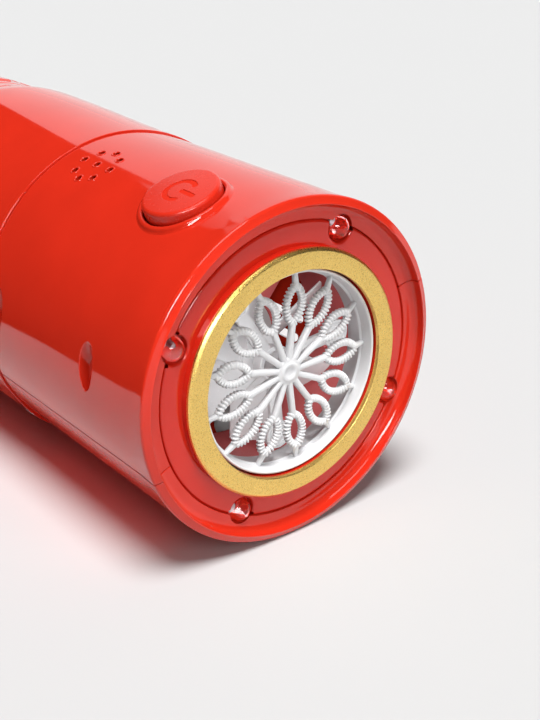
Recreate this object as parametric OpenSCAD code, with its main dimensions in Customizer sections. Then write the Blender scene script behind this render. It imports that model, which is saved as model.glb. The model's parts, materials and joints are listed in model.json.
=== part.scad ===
// Handheld bubble blower: a round housing with a turning wand wheel in its front face,
// a fan behind the wheel, a grip barrel with four cells and a twist-off end cap.
// Each piece is drawn upright, with the front rim at z = 0 and its depth behind the rim
// counted downwards. The button is then on the +Y side. lay() lays the blower on its side.

/* [Body] */
// Outer diameter of the front housing
body_d = 74; // [70:1:90]
// Wall of the housing, barrel and end cap
wall = 2.2; // [1.8:0.1:2.6]
// Length of the front housing up to the barrel
front_len = 65; // [64:1:80]
// Length of the grip barrel
barrel_len = 68; // [64:1:90]
// Length of the end cap
cap_len = 39; // [34:1:60]
// How far the barrel's front edge stands proud of the housing
barrel_step = 0.75; // [0.4:0.05:1.2]
// How far the barrel swells towards its rear
barrel_swell = 0.65; // [0.2:0.05:1.2]
// Height of the body's axis over the flat that it lies on
axis_height = 37.4; // [37.2:0.05:37.6]
// Turn of the button away from straight up
roll = 20.5; // [0:0.5:40]
// Length of the housing's spigot inside the barrel
spigot_len = 13; // [10:1:18]

/* [Front face] */
// Width of the sloping shell lip round the face
lip_w = 5; // [4.4:0.1:6]
// Rounding of the outer rim
rim_round = 1.3; // [0.8:0.1:1.8]
// Depth of the face plate behind the rim
plate_depth = 3.7; // [3.4:0.1:5]
// Thickness of the face plate
plate_t = 1.9; // [1.6:0.1:2.4]
// Width of the flat face between the lip and the collar
plate_w = 4.9; // [4.6:0.1:6]
// Width of the gold ring
ring_w = 4.2; // [3.4:0.1:5]
// Thickness of the gold ring
ring_t = 0.9; // [0.6:0.1:1.2]
// Depth of the gold ring's face behind the rim
ring_depth = 1.4; // [1:0.1:1.8]
// Width of the groove between the shells and the face plate
groove_w = 0.25; // [0.15:0.05:0.5]

/* [Lamps] */
// Diameter of a lamp's lens
lamp_d = 5; // [4.6:0.1:5.2]
// Height of a lamp from its foot to the top of its dome
lamp_h = 8.6; // [8:0.1:9.4]
// Depth of the dome's tip behind the rim
lamp_depth = 1.9; // [1.4:0.1:2.4]

/* [Wand wheel] */
// Number of wand loops
loop_count = 13; // [9:1:14]
// Length of a loop along its spoke
loop_len = 8.8; // [7:0.1:9.4]
// Width of a loop
loop_w = 5.6; // [4:0.1:5.8]
// Wall of a loop
loop_wall = 1.3; // [0.9:0.1:1.5]
// Thickness of a loop along the axis
loop_t = 2.8; // [2:0.1:3.2]
// Gap between a loop and the wheel's rim
loop_inset = 3; // [2.4:0.1:4]
// Wall of the wheel's rim
wheel_wall = 1.1; // [0.9:0.1:1.5]
// Diameter of the hub
hub_d = 6.2; // [5.4:0.1:7]
// Diameter of the axle that the wheel turns on
axle_d = 2; // [1.6:0.1:2.4]
// Turn of the first loop from the button's side
loop_turn = 1; // [-13:0.5:13]

/* [Wheel drive] */
// Tooth size (module) of the wheel's ring gear and its pinion
tooth_module = 0.7; // [0.6:0.05:0.8]
// Number of teeth on the pinion
pinion_teeth = 10; // [9:1:12]
// Face width of the gears
gear_t = 2.8; // [2.2:0.1:3.4]
// Width of the gear motor across the housing
wheel_motor_w = 12; // [10:0.5:13]
// Depth of the gear motor towards the axis
wheel_motor_h = 10; // [9:0.5:10.5]
// Length of the gear motor
wheel_motor_len = 25; // [22:0.5:30]
// Diameter of the gear motor's output shaft
wheel_shaft_d = 3; // [2.4:0.1:3.2]

/* [Fan] */
// Number of fan blades
blade_count = 6; // [4:1:7]
// Width of a blade
blade_w = 9.5; // [7:0.5:10]
// Thickness of a blade
blade_t = 1.1; // [0.8:0.1:1.4]
// Pitch of the blades
blade_pitch = 38; // [25:1:45]
// Diameter of the fan motor
fan_motor_d = 20.4; // [18:0.2:22]
// Length of the fan motor
fan_motor_len = 25; // [22:0.5:30]
// Diameter of the fan motor's shaft
fan_shaft_d = 2; // [1.6:0.1:2.4]

/* [Button and speaker] */
// Width of the button round the body
button_len = 16.4; // [14:0.1:19]
// Width of the button along the body
button_w = 16.4; // [11:0.1:19]
// Rise of the button over the body
button_rise = 2.1; // [1.6:0.1:3]
// Travel of the button
button_travel = 1.2; // [0.8:0.1:1.4]
// Depth of the button's centre behind the rim
button_depth = 20.9; // [20:0.1:26]
// Diameter of the speaker
speaker_d = 20; // [16:0.5:22]
// Height of the speaker
speaker_h = 5.6; // [4.6:0.2:6.4]
// Depth of the speaker's centre behind the rim
speaker_depth = 53.3; // [52:0.1:54]
// Diameter of a speaker hole
sound_hole_d = 1.5; // [1.2:0.1:2]
// Diameter of the ring of speaker holes
sound_ring_d = 10.4; // [8:0.2:12]

/* [Power] */
// Diameter of a cell
cell_d = 14.4; // [13.6:0.1:14.5]
// Length of a cell over its terminals
cell_len = 50.2; // [49.2:0.1:50.5]
// Turn of the end cap between locked and free
cap_turn = 30; // [20:1:40]
// Size of a raised grip pad on the end cap along the body
pad_len = 7; // [5:0.5:8]
// Number of grip pads round the end cap
pad_count = 14; // [10:1:16]
// Rise of a grip pad
pad_rise = 0.35; // [0.2:0.05:0.4]

/* [Screws] */
// Diameter of the housing screws
screw_d = 2.6; // [2:0.1:3]
// Diameter of the screw pockets in the upper shell
pocket_d = 4.7; // [4.6:0.1:5.2]
// Inset of the screw pockets from the side of the body
pocket_inset = 4.8; // [4.6:0.1:5.2]
// Depth of the first pair of pockets behind the rim
pocket_depth = 22; // [21.5:0.5:26]

/* [Clearances] */
// Gap between pieces that move past each other
run_gap = 0.35; // [0.3:0.05:0.5]
// Gap between pieces that are fastened together
seat_gap = 0.05; // [0.02:0.01:0.1]
// Radial play of a shaft in its bearing
shaft_play = 0.05; // [0.02:0.01:0.08]

/* [Hidden] */
$fn = 96;

// Colours
red = [0.86, 0.1, 0.08];
dull_red = [0.72, 0.16, 0.14];
gold = [0.85, 0.68, 0.33];
white = [0.93, 0.93, 0.92];
steel = [0.66, 0.67, 0.69];
black = [0.09, 0.09, 0.1];
green = [0.08, 0.36, 0.2];
clear = [0.9, 0.86, 0.86];
brass = [0.78, 0.62, 0.32];

// Radii of the housing and its face, from the outside in
body_r = body_d / 2;
inner_r = body_r - wall;
lip_r = body_r - lip_w;
plate_r = lip_r - groove_w;
collar_r = plate_r - plate_w;
ring_r = collar_r - 0.2;
bore_r = ring_r - ring_w;
wheel_r = bore_r - run_gap;

// Depths of the face plate, wheel and drive
plate_back = plate_depth + plate_t;
flange_t = 1.5;
rib_h = 0.7;
flange_back = plate_back + seat_gap + flange_t;
collar_back = plate_back + 0.4;
rim_front = ring_depth + 0.5;
loop_front = plate_depth - 0.3;
hub_front = plate_depth + 0.2;
gear_front = collar_back + run_gap;
gear_back = gear_front + gear_t;
bracket_front = gear_back - 0.5;
hub_back = bracket_front - run_gap;
bracket_t = 1.8;
bracket_back = bracket_front + bracket_t;
tab_t = 1.4;
tab_back = bracket_back + seat_gap + tab_t;
shroud_front = gear_back + run_gap;
fan_front = tab_back + 2 * run_gap;
fan_len = blade_w * sin(blade_pitch) + blade_t * cos(blade_pitch);
fan_back = fan_front + fan_len;
shroud_back = fan_back + run_gap + 4.5;
motor_front = shroud_back - 2.5;

// Ring gear on the wheel and its pinion, which mesh at the pinion's side of the axis
wheel_teeth = round(2 * (wheel_r + 2.4) / tooth_module);
wheel_pitch_r = tooth_module * wheel_teeth / 2;
pinion_pitch_r = tooth_module * pinion_teeth / 2;
drive_r = wheel_pitch_r + pinion_pitch_r + 0.1;
drive_angle = -90;

// Loops of the wheel
loop_end_r = wheel_r - wheel_wall - loop_inset + 0.7;
loop_mid_r = loop_end_r - loop_len / 2;

// Shroud, fan and bracket radii
shroud_r = drive_r - wheel_motor_h / 2 - seat_gap;
shroud_in = shroud_r - 1.2;
fan_r = shroud_in - 1;
ear_d = 6.4;
ear_r = wheel_r - wheel_wall - run_gap - ear_d / 2;
ear_angles = [101.5, -14.5, -105];
post_angles = [0, 180, 248, 292];
post_d = 4.8;
post_r = (shroud_r + inner_r) / 2 + 0.6;
post_back = fan_front + 2;
lug_t = 2;
cup_len = 9;

// Small screws of the bracket, the shroud and the board
ear_screw_d = 1.6;
ear_head_d = 3;
ear_head_t = 0.5;
post_screw_d = 1.8;
post_grip = 3.5;
board_screw_d = 1.8;

// Lamps
lamp_r = lip_r - 1.2;
lamp_angles = [45, 135, 225, 315];
lamp_hole_d = lamp_d + 0.9;
lamp_foot = lamp_depth + lamp_h;
lamp_seat = plate_back - 0.4;

// Button, switch and board, measured up from the axis
flange_over = 1.3;
button_flat = sqrt(pow(inner_r, 2) - pow(button_len / 2 + 1.9, 2));
stop_v = button_flat - 0.6;
button_foot = stop_v - run_gap / 2 - 1.2;
switch_h = 3;
board_t = 1.2;
board_v = button_foot - button_travel - switch_h - 0.8;
plunger_d = 3.4;
board_w = 32;
board_front = button_depth - 9;
board_len = 28;
post_x = board_w / 2 - 3;

// Speaker, seated under the crown of the upper shell
speaker_v = sqrt(pow(inner_r, 2) - pow(speaker_d / 2, 2)) - seat_gap;

// Screw bosses of the housing
boss_d = pocket_d + 2.4;
pocket_x = body_r - pocket_inset;
pocket_floor = 7;
pocket_depths = [pocket_depth, front_len - 5.5];

// Barrel and end cap
barrel_front_r = body_r + barrel_step;
barrel_in = barrel_front_r - wall;
spigot_r = barrel_in - 0.15;
barrel_front = front_len + run_gap;
barrel_back = front_len + barrel_len;
cap_r = body_r - 0.1;
cap_front = barrel_back + run_gap;
cap_back = cap_front + cap_len;
lug_r = cap_r - 1.7;
neck_r = lug_r - 1.1;
neck_len = 9;
cap_bore = neck_r + run_gap;
lug_arc = 10;
barrel_screw_angles = [-60, -150];
lug_front = cap_front + 3;
seal_d = 1.4;
seal_front = lug_front + 3.35;
seal_in = cap_bore - 0.1 - seal_d;

// Cells and the cage that holds them
cell_r = cell_d / 2;
cell_pitch = cell_d / 2 + 0.5;
cage_front = front_len + spigot_len + 2;
cage_disc_t = 2.4;
contact_t = 0.4;
cell_front = cage_front + cage_disc_t + contact_t + 2 * seat_gap;
cell_back = cell_front + cell_len;
spring_h = 2.4;
lid_front = cell_back + spring_h + seat_gap;
lid_t = 2;
lead_d = 1.4;
lead_x = 9.5;

total_len = cap_back;

// Frames and basic shapes

// Lays the upright drawing on its side: front to -Y, button up and turned by roll
module lay() {
    translate([0, -total_len / 2, axis_height]) rotate([90, 0, 0]) rotate([0, 0, roll]) children();
}

// Round bar between two depths
module bar(r, front, back) {
    translate([0, 0, -back]) cylinder(r = r, h = back - front);
}

// Round tube between two depths
module tube(r, hole_r, front, back) {
    difference() {
        bar(r, front, back);
        bar(hole_r, front - 1, back + 1);
    }
}

// Solid of revolution from [radius, depth] points
module spin(points) {
    rotate_extrude() polygon([for (p = points) [p[0], -p[1]]]);
}

// Part of a ring between two depths, over an arc
module ring_arc(r, hole_r, front, back, from, arc) {
    rotate([0, 0, from]) rotate_extrude(angle = arc)
        translate([hole_r, -back]) square([r - hole_r, back - front]);
}

// Places a piece at a polar position round the axis
module polar(angle, r) {
    rotate([0, 0, angle]) translate([r, 0, 0]) children();
}

// Turns +Z to the button's side, at a place across and along the body
module upward(x, depth) {
    translate([x, 0, -depth]) rotate([-90, 0, 0]) children();
}

// Quarter-circle points about a centre, for a rounded edge
function round_points(r, depth, radius, from, to) =
    [for (i = [0:6]) let(angle = from + (to - from) * i / 6)
        [r + radius * cos(angle), depth + radius * sin(angle)]];

// Oval of four arcs
module oval(length, width) {
    a = length / 2;
    b = width / 2;
    end_r = b * 0.72;
    c = a - end_r;
    side_r = (c * c + b * b - end_r * end_r) / (2 * (b - end_r));
    reach = side_r * c / (side_r - end_r);
    intersection() {
        translate([0, side_r - b]) circle(r = side_r);
        translate([0, b - side_r]) circle(r = side_r);
        square([2 * reach, width], center = true);
    }
    for (side = [-1, 1]) translate([side * c, 0]) circle(r = end_r);
}

// Pointed oval between two arcs
module lens(length, width) {
    r = (pow(length, 2) + pow(width, 2)) / (4 * width);
    intersection() {
        translate([0, r - width / 2]) circle(r = r);
        translate([0, width / 2 - r]) circle(r = r);
    }
}

// Spur gear with straight-sided teeth; a tooth points along +X, or a gap if offset is half a pitch
module gear(teeth, offset) {
    pitch_r = tooth_module * teeth / 2;
    tip = pitch_r + 0.9 * tooth_module;
    root = pitch_r - 1.2 * tooth_module;
    step = 360 / teeth;
    polygon([for (i = [0:teeth - 1]) for (corner = [[-0.34, root], [-0.14, tip], [0.14, tip], [0.34, root]])
        corner[1] * [cos((i + corner[0] + offset) * step), sin((i + corner[0] + offset) * step)]]);
}

// Pan-head screw along -Z, with its head on the plane z = 0
module screw(d, length) {
    difference() {
        cylinder(d = 1.75 * d, h = 0.6 * d);
        translate([-0.6 * d, -0.1 * d, 0.3 * d]) cube([1.2 * d, 0.2 * d, d]);
        translate([-0.1 * d, -0.6 * d, 0.3 * d]) cube([0.2 * d, 1.2 * d, d]);
    }
    translate([0, 0, -length]) cylinder(d = d, h = length + 0.1);
}

// Front housing

// Revolved wall of both half-shells: rim, sloping lip, wall and spigot
module housing_wall() {
    spigot_in = spigot_r - 2;
    spin(concat(
        round_points(body_r - rim_round, rim_round, rim_round, -90, 0),
        [
            [body_r, front_len], [spigot_r, front_len], [spigot_r, front_len + spigot_len],
            [spigot_in, front_len + spigot_len], [spigot_in, front_len - 2], [inner_r, front_len - 4],
            [inner_r, flange_back + 1.1], [inner_r - rib_h, flange_back + 1.1],
            [inner_r - rib_h, flange_back + seat_gap], [inner_r, flange_back + seat_gap],
            [inner_r, plate_back], [lip_r, plate_back], [lip_r, plate_depth],
            [body_r - 2 * rim_round, 0.3], [body_r - 1.6 * rim_round, 0]
        ]
    ));
}

// Half of space on the button's side (1) or the other side (-1) of the parting plane
module half_space(side) {
    size = 4 * (body_r + total_len);
    translate([-size / 2, side > 0 ? 0 : -size, -size / 2]) cube(size);
}

// Holes round the lamps, through the lip or into the face plate
module lamp_holes(back) {
    for (angle = lamp_angles) polar(angle, lamp_r) bar(lamp_hole_d / 2, -1, back);
}

// Screw boss of the upper shell, down to the parting plane
module upper_bosses() {
    for (depth = pocket_depths, side = [-1, 1])
        upward(side * pocket_x, depth) cylinder(d = boss_d, h = body_r);
}

module button_surround() {
    intersection() {
        upward(0, button_depth) translate([0, 0, stop_v]) linear_extrude(body_r)
            oval(button_len + 3.8, button_w + 3.8);
        bar(body_r + 0.8, 0, front_len);
    }
}

module speaker_holes() {
    upward(0, speaker_depth) {
        cylinder(d = sound_hole_d, h = 2 * body_r);
        for (i = [0:7]) rotate([0, 0, 45 * i]) translate([sound_ring_d / 2, 0, 0])
            cylinder(d = sound_hole_d, h = 2 * body_r);
    }
}

// Ring that the speaker is glued into
module speaker_holder() {
    upward(0, speaker_depth) difference() {
        translate([0, 0, speaker_v - 3]) cylinder(d = speaker_d + 2.6, h = body_r);
        cylinder(d = speaker_d + 2 * seat_gap, h = 3 * body_r);
    }
}

module board_posts() {
    for (end = [3, board_len - 3], side = [-1, 1])
        upward(side * post_x, board_front + end)
            translate([0, 0, board_v + seat_gap]) cylinder(d = 4.4, h = body_r);
}

module upper_shell() {
    color(red) lay() difference() {
        union() {
            intersection() {
                housing_wall();
                half_space(1);
            }
            intersection() {
                union() {
                    upper_bosses();
                    speaker_holder();
                    board_posts();
                }
                bar(inner_r + wall / 2, 0, front_len + spigot_len);
            }
            button_surround();
        }
        upward(0, button_depth) linear_extrude(2 * body_r)
            oval(button_len + 2 * run_gap, button_w + 2 * run_gap);
        speaker_holes();
        lamp_holes(flange_back);
        for (depth = pocket_depths, side = [-1, 1]) upward(side * pocket_x, depth) {
            translate([0, 0, pocket_floor]) cylinder(d = pocket_d, h = body_r);
            translate([0, 0, -1]) cylinder(d = screw_d + 0.4, h = body_r);
        }
        for (end = [3, board_len - 3], side = [-1, 1]) upward(side * post_x, board_front + end)
            translate([0, 0, board_v - 1]) cylinder(d = board_screw_d - 2 * seat_gap, h = 5);
    }
}

// Air intake slots, on the side that faces the table
module intake_slots() {
    slot_len = 14;
    for (angle = [-76:8:-36]) polar(angle, inner_r)
        translate([-3, -1.1, -front_len + 12]) cube([9, 2.2, slot_len]);
}

module lower_shell() {
    color(red) lay() difference() {
        union() {
            intersection() {
                housing_wall();
                half_space(-1);
            }
            intersection() {
                for (depth = pocket_depths, side = [-1, 1])
                    upward(side * pocket_x, depth) translate([0, 0, -14]) cylinder(d = boss_d, h = 14);
                bar(inner_r + wall / 2, 0, front_len + spigot_len);
            }
        }
        lamp_holes(flange_back);
        intake_slots();
        for (depth = pocket_depths, side = [-1, 1])
            upward(side * pocket_x, depth) translate([0, 0, -11]) cylinder(d = screw_d, h = 12);
        each_barrel_screw() cylinder(d = screw_d, h = body_r, center = true);
    }
}

// Four screws from the pockets into the lower shell
module housing_screws() {
    color(steel) lay() for (depth = pocket_depths, side = [-1, 1])
        upward(side * pocket_x, depth) translate([0, 0, pocket_floor + seat_gap])
            screw(screw_d - 2 * seat_gap, pocket_floor + 9);
}

// Front face

module face_plate() {
    color(dull_red) lay() difference() {
        union() {
            spin([
                [bore_r, ring_depth + ring_t + seat_gap], [collar_r - 0.2, ring_depth + ring_t + seat_gap],
                [collar_r, plate_depth], [plate_r, plate_depth], [plate_r, plate_back + seat_gap],
                [inner_r - 0.5, plate_back + seat_gap], [inner_r - 0.5, flange_back],
                [wheel_pitch_r + 3, flange_back], [wheel_pitch_r + 3, collar_back], [bore_r, collar_back]
            ]);
            for (angle = post_angles) polar(angle, post_r) bar(post_d / 2, plate_back, post_back);
            for (angle = lamp_angles) polar(angle, lamp_r) intersection() {
                bar(lamp_d / 2 + 1.4, plate_back, lamp_foot - 1.1);
                translate([-lamp_r, 0, 0]) bar(inner_r - rib_h - run_gap, 0, lamp_foot);
            }
        }
        lamp_holes(lamp_seat);
        for (angle = lamp_angles) polar(angle, lamp_r) bar(lamp_d / 2 + 0.15, 0, lamp_foot + 1);
        polar(drive_angle, drive_r) bar(pinion_pitch_r + 2, collar_back, flange_back + 1);
        for (angle = post_angles) polar(angle, post_r) bar(post_screw_d / 2, flange_back, post_back + 1);
    }
}

module gold_ring() {
    color(gold) lay() tube(ring_r, bore_r - 0.05, ring_depth, ring_depth + ring_t);
}

// One lamp: dome, body, foot and two legs
module lamp(index) {
    color(clear) lay() polar(lamp_angles[index], lamp_r) {
        translate([0, 0, -lamp_depth - lamp_d / 2]) sphere(d = lamp_d);
        bar(lamp_d / 2, lamp_depth + lamp_d / 2, lamp_foot);
        intersection() {
            bar(lamp_d / 2 + 0.4, lamp_foot - 1, lamp_foot);
            translate([-lamp_r, 0, 0]) bar(inner_r - 0.2, 0, lamp_foot);
        }
        for (side = [-1, 1]) translate([-0.25, side * 1.27 - 0.25, -lamp_foot - 4]) cube([0.5, 0.5, 4.2]);
    }
}

// Wand wheel and what carries and drives it

module wand_wheel() {
    rim_in = wheel_r - wheel_wall;
    color(white) lay() {
        translate([0, 0, -loop_front - loop_t]) linear_extrude(loop_t) difference() {
            union() {
                circle(d = hub_d);
                each_loop() wand_outline();
            }
            each_loop() translate([loop_mid_r, 0]) lens(loop_len - 2.2 * loop_wall, loop_w - 2 * loop_wall);
            circle(r = axle_d / 2 + shaft_play);
        }
        tube(hub_d / 2, axle_d / 2 + shaft_play, hub_front, hub_back);
        spin([
            [wheel_r - 0.6, rim_front], [wheel_r, rim_front], [wheel_r, gear_back], [rim_in, gear_back],
            [rim_in, rim_front + 4], [rim_in - 0.3, rim_front + 3.2]
        ]);
        translate([0, 0, -gear_back]) linear_extrude(gear_t) difference() {
            rotate([0, 0, drive_angle]) gear(wheel_teeth, 0);
            circle(r = rim_in + 0.3);
        }
    }
}

// Repeats a piece for every loop, the first one turned from the button's side
module each_loop() {
    for (i = [0:loop_count - 1]) rotate([0, 0, 90 + loop_turn + 360 / loop_count * i]) children();
}

// Outline of a spoke, its loop and its tip, along +X
module wand_outline() {
    rim_in = wheel_r - wheel_wall;
    loop_start_r = loop_end_r - loop_len;
    translate([loop_mid_r, 0]) lens(loop_len, loop_w);
    translate([0, -0.7]) square([loop_start_r + loop_wall, 1.4]);
    translate([loop_end_r - loop_wall, -0.5]) square([rim_in + 0.4 - loop_end_r + loop_wall, 1]);
}

// Fixed axle, pressed into the bracket
module wheel_axle() {
    color(steel) lay() bar(axle_d / 2, hub_front + 0.6, bracket_back + 0.8);
}

// Three-eared bracket that carries the axle behind the wheel
module axle_bracket() {
    color(white) lay() difference() {
        union() {
            bar(3.6, bracket_front, bracket_back + 0.8);
            for (angle = ear_angles) rotate([0, 0, angle]) {
                translate([2, -1.6, -bracket_back]) cube([ear_r - 4, 3.2, bracket_t - 0.1]);
                translate([ear_r, 0, 0]) bar(ear_d / 2, bracket_front + 0.2, bracket_back);
            }
        }
        bar(axle_d / 2, 0, bracket_back + 2);
        for (angle = ear_angles) polar(angle, ear_r)
            bar(ear_screw_d / 2, bracket_front + 0.6, bracket_back + 1);
    }
}

// Three screws from behind, through the shroud's tabs into the ears
module bracket_screws() {
    color(steel) lay() for (angle = ear_angles) polar(angle, ear_r)
        translate([0, 0, -tab_back + 0.55]) rotate([180, 0, 0]) {
            cylinder(d = ear_head_d, h = ear_head_t);
            translate([0, 0, -2]) cylinder(d = ear_screw_d - 2 * seat_gap, h = 2.1);
        }
}

// Duct round the fan, with the fan motor's cup, the gear motor's cradle and the fixing lugs
module fan_shroud() {
    cup_in = fan_motor_d / 2 + seat_gap;
    cradle_x = wheel_motor_w / 2 + seat_gap;
    cradle_in = sqrt(pow(shroud_in, 2) - pow(cradle_x + 1.4, 2)) + 0.6;
    color(dull_red) lay() difference() {
        union() {
            tube(shroud_r, shroud_in, shroud_front, shroud_back);
            tube(cup_in + 1.6, cup_in, motor_front, motor_front + cup_len);
            for (angle = [30, 150, 270]) intersection() {
                rotate([0, 0, angle]) translate([cup_in + 0.5, -2, -shroud_back])
                    cube([shroud_r - cup_in, 4, shroud_back - motor_front]);
                bar(shroud_in + 0.5, 0, shroud_back);
            }
            for (angle = ear_angles) intersection() {
                rotate([0, 0, angle]) translate([ear_r - 2.4, -3, -tab_back])
                    cube([shroud_r, 6, tab_t]);
                bar(shroud_in + 0.5, 0, tab_back);
            }
            for (angle = post_angles) {
                polar(angle, post_r) bar(post_d / 2, post_back + seat_gap, post_back + lug_t);
                rotate([0, 0, angle]) translate([shroud_r - 0.5, -2, -post_back - lug_t])
                    cube([post_r - shroud_r, 4, lug_t - seat_gap]);
            }
            rotate([0, 0, drive_angle]) for (side = [-1, 1])
                translate([cradle_in, side * (cradle_x + 0.7) - 0.7, -shroud_back])
                    cube([drive_r + 1 - cradle_in, 1.4, shroud_back - motor_face()]);
        }
        for (angle = ear_angles) polar(angle, ear_r) {
            bar(1, bracket_back - 1, tab_back + 1);
            bar(ear_head_d / 2 + 0.1, tab_back - ear_head_t - 0.1, tab_back + 1);
        }
        for (angle = post_angles) polar(angle, post_r) bar(1.2, post_back - 1, post_back + lug_t + 1);
    }
}

// Four screws that hold the shroud on the face plate's posts
module shroud_screws() {
    color(steel) lay() for (angle = post_angles) polar(angle, post_r)
        translate([0, 0, -post_back - lug_t - seat_gap]) rotate([180, 0, 0])
            screw(post_screw_d - 2 * seat_gap, lug_t + post_grip);
}

module fan() {
    color(white) lay() difference() {
        union() {
            bar(5, fan_front, fan_back);
            intersection() {
                for (i = [0:blade_count - 1]) rotate([0, 0, 360 / blade_count * i + 8])
                    translate([3, 0, -(fan_front + fan_back) / 2]) rotate([blade_pitch, 0, 0])
                        translate([0, -blade_w / 2, -blade_t / 2]) cube([fan_r, blade_w, blade_t]);
                bar(fan_r, fan_front, fan_back);
            }
        }
        bar(fan_shaft_d / 2, fan_front + 1, fan_back + 1);
    }
}

module fan_shaft() {
    color(steel) lay() bar(fan_shaft_d / 2, fan_front + 1, motor_front + 4);
}

// Motor can with two flats, its front bearing boss and its end cap
module fan_motor() {
    can_back = motor_front + fan_motor_len;
    color(steel) lay() difference() {
        union() {
            intersection() {
                bar(fan_motor_d / 2, motor_front + 0.5, can_back);
                translate([-fan_motor_d, -fan_motor_d * 0.38, -can_back])
                    cube([2 * fan_motor_d, fan_motor_d * 0.76, fan_motor_len]);
            }
            bar(3, motor_front - 0.5, motor_front + 1);
            bar(5, can_back - 1, can_back + 2);
        }
        bar(fan_shaft_d / 2 + shaft_play, 0, motor_front + 5);
    }
}

// Depth of the gear motor's front face
function motor_face() = gear_back + 1.6;

// Flat gear motor beside the shroud
module wheel_motor() {
    box_len = 9;
    back = motor_face() + wheel_motor_len;
    color(steel) lay() polar(drive_angle, drive_r) difference() {
        union() {
            translate([-wheel_motor_h / 2, -wheel_motor_w / 2, -motor_face() - box_len])
                cube([wheel_motor_h, wheel_motor_w, box_len]);
            intersection() {
                bar(wheel_motor_w / 2, motor_face() + box_len, back);
                translate([-wheel_motor_h / 2, -wheel_motor_w / 2, -back])
                    cube([wheel_motor_h, wheel_motor_w, wheel_motor_len]);
            }
            bar(2, back, back + 1.2);
        }
        bar(wheel_shaft_d / 2 + shaft_play, 0, motor_face() + 6);
    }
}

module motor_shaft() {
    color(steel) lay() polar(drive_angle, drive_r) bar(wheel_shaft_d / 2, gear_front, motor_face() + 5);
}

module wheel_pinion() {
    color(brass) lay() polar(drive_angle, drive_r) difference() {
        translate([0, 0, -gear_back]) linear_extrude(gear_t) rotate([0, 0, 180]) gear(pinion_teeth, 0.5);
        bar(wheel_shaft_d / 2, 0, gear_back + 1);
    }
}

// Button, switch, board and speaker

module power_symbol() {
    difference() {
        circle(r = 3.5);
        circle(r = 2.6);
        polygon([[0, 0], [-2.6, -4.5], [2.6, -4.5]]);
    }
    translate([-0.45, -4.6]) square([0.9, 4.2]);
}

module power_button() {
    color(red) lay() difference() {
        intersection() {
            upward(0, button_depth) {
                translate([0, 0, button_foot]) linear_extrude(body_r) oval(button_len, button_w);
                translate([0, 0, button_foot]) linear_extrude(1.2)
                    oval(button_len + 2 * flange_over, button_w + 2 * flange_over);
            }
            bar(body_r + button_rise, 0, front_len);
        }
        upward(0, button_depth) translate([0, 0, body_r + button_rise - 0.45])
            linear_extrude(2) power_symbol();
    }
}

module switch_plunger() {
    color(black) lay() upward(0, button_depth) translate([0, 0, board_v + button_travel + 0.3])
        cylinder(d = plunger_d, h = button_foot - seat_gap - board_v - button_travel - 0.3);
}

module switch_body() {
    color(black) lay() upward(0, button_depth) difference() {
        translate([-3, -3, board_v]) cube([6, 6, switch_h]);
        translate([0, 0, board_v - 1]) cylinder(d = plunger_d + 2 * shaft_play, h = switch_h + 2);
    }
}

module main_board() {
    color(green) lay() upward(0, board_front) difference() {
        translate([-board_w / 2, 0, board_v - board_t]) cube([board_w, board_len, board_t]);
        for (end = [3, board_len - 3], side = [-1, 1]) translate([side * post_x, end, 0])
            cylinder(d = 2.2, h = body_r);
    }
}

module board_screws() {
    color(steel) lay() for (end = [3, board_len - 3], side = [-1, 1])
        upward(side * post_x, board_front + end) translate([0, 0, board_v - board_t - seat_gap])
            rotate([180, 0, 0]) screw(board_screw_d - 4 * seat_gap, board_t + 3);
}

module speaker_frame() {
    color(steel) lay() upward(0, speaker_depth) difference() {
        union() {
            translate([0, 0, speaker_v - speaker_h / 2]) cylinder(d = speaker_d, h = speaker_h / 2);
            translate([0, 0, speaker_v - speaker_h]) cylinder(d = speaker_d * 0.65, h = speaker_h / 2 + 0.1);
        }
        translate([0, 0, speaker_v - speaker_h / 2 + 0.8]) cylinder(d = speaker_d - 2, h = speaker_h);
    }
}

module speaker_cone() {
    color(black) lay() upward(0, speaker_depth) translate([0, 0, speaker_v - speaker_h / 2 + 0.8 + seat_gap])
        difference() {
            cylinder(d = speaker_d - 2.2, h = 1.2);
            translate([0, 0, 0.4]) cylinder(d1 = 6, d2 = speaker_d - 4, h = 0.9);
        }
}

// Barrel, cells and end cap

// Outline of the barrel's outside, from its front edge to the shoulder at its rear
function barrel_outline() = let(swell_r = barrel_front_r + barrel_swell, swell = barrel_back - 17) concat(
    [[barrel_front_r - 0.5, barrel_front], [barrel_front_r, barrel_front + 0.5]],
    [for (i = [1:8]) let(t = i / 8) [
        barrel_front_r + barrel_swell * (1 - cos(180 * t)) / 2, barrel_front + t * (swell - barrel_front)]],
    [for (i = [1:8]) let(t = i / 8) [swell_r - (swell_r - cap_r) * (1 - cos(180 * t)) / 2, swell + 15.5 * t]],
    [[cap_r, barrel_back]]
);

module barrel() {
    color(red) lay() difference() {
        union() {
            spin(concat(barrel_outline(), [
                [neck_r, barrel_back], [neck_r, cap_front + neck_len], [neck_r - 2.2, cap_front + neck_len],
                [neck_r - 2.2, barrel_back - 3], [barrel_in, barrel_back - 6], [barrel_in, barrel_front]
            ]));
            for (i = [0:2])
                ring_arc(lug_r, neck_r - 1, lug_front, lug_front + 2, 120 * i - lug_arc / 2, lug_arc);
        }
        spin([
            [seal_in - seat_gap, seal_front - 0.15], [neck_r + 1, seal_front - 0.15],
            [neck_r + 1, seal_front + seal_d + 0.15], [seal_in - seat_gap, seal_front + seal_d + 0.15]
        ]);
        rotate([0, 0, -90 - roll]) translate([axis_height, -body_r, -barrel_back])
            cube([body_r, 2 * body_r, barrel_len]);
        each_barrel_screw() {
            cylinder(d = screw_d + 0.4, h = body_r, center = true);
            cylinder(d = 2 * screw_d, h = body_r);
        }
    }
}

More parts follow.
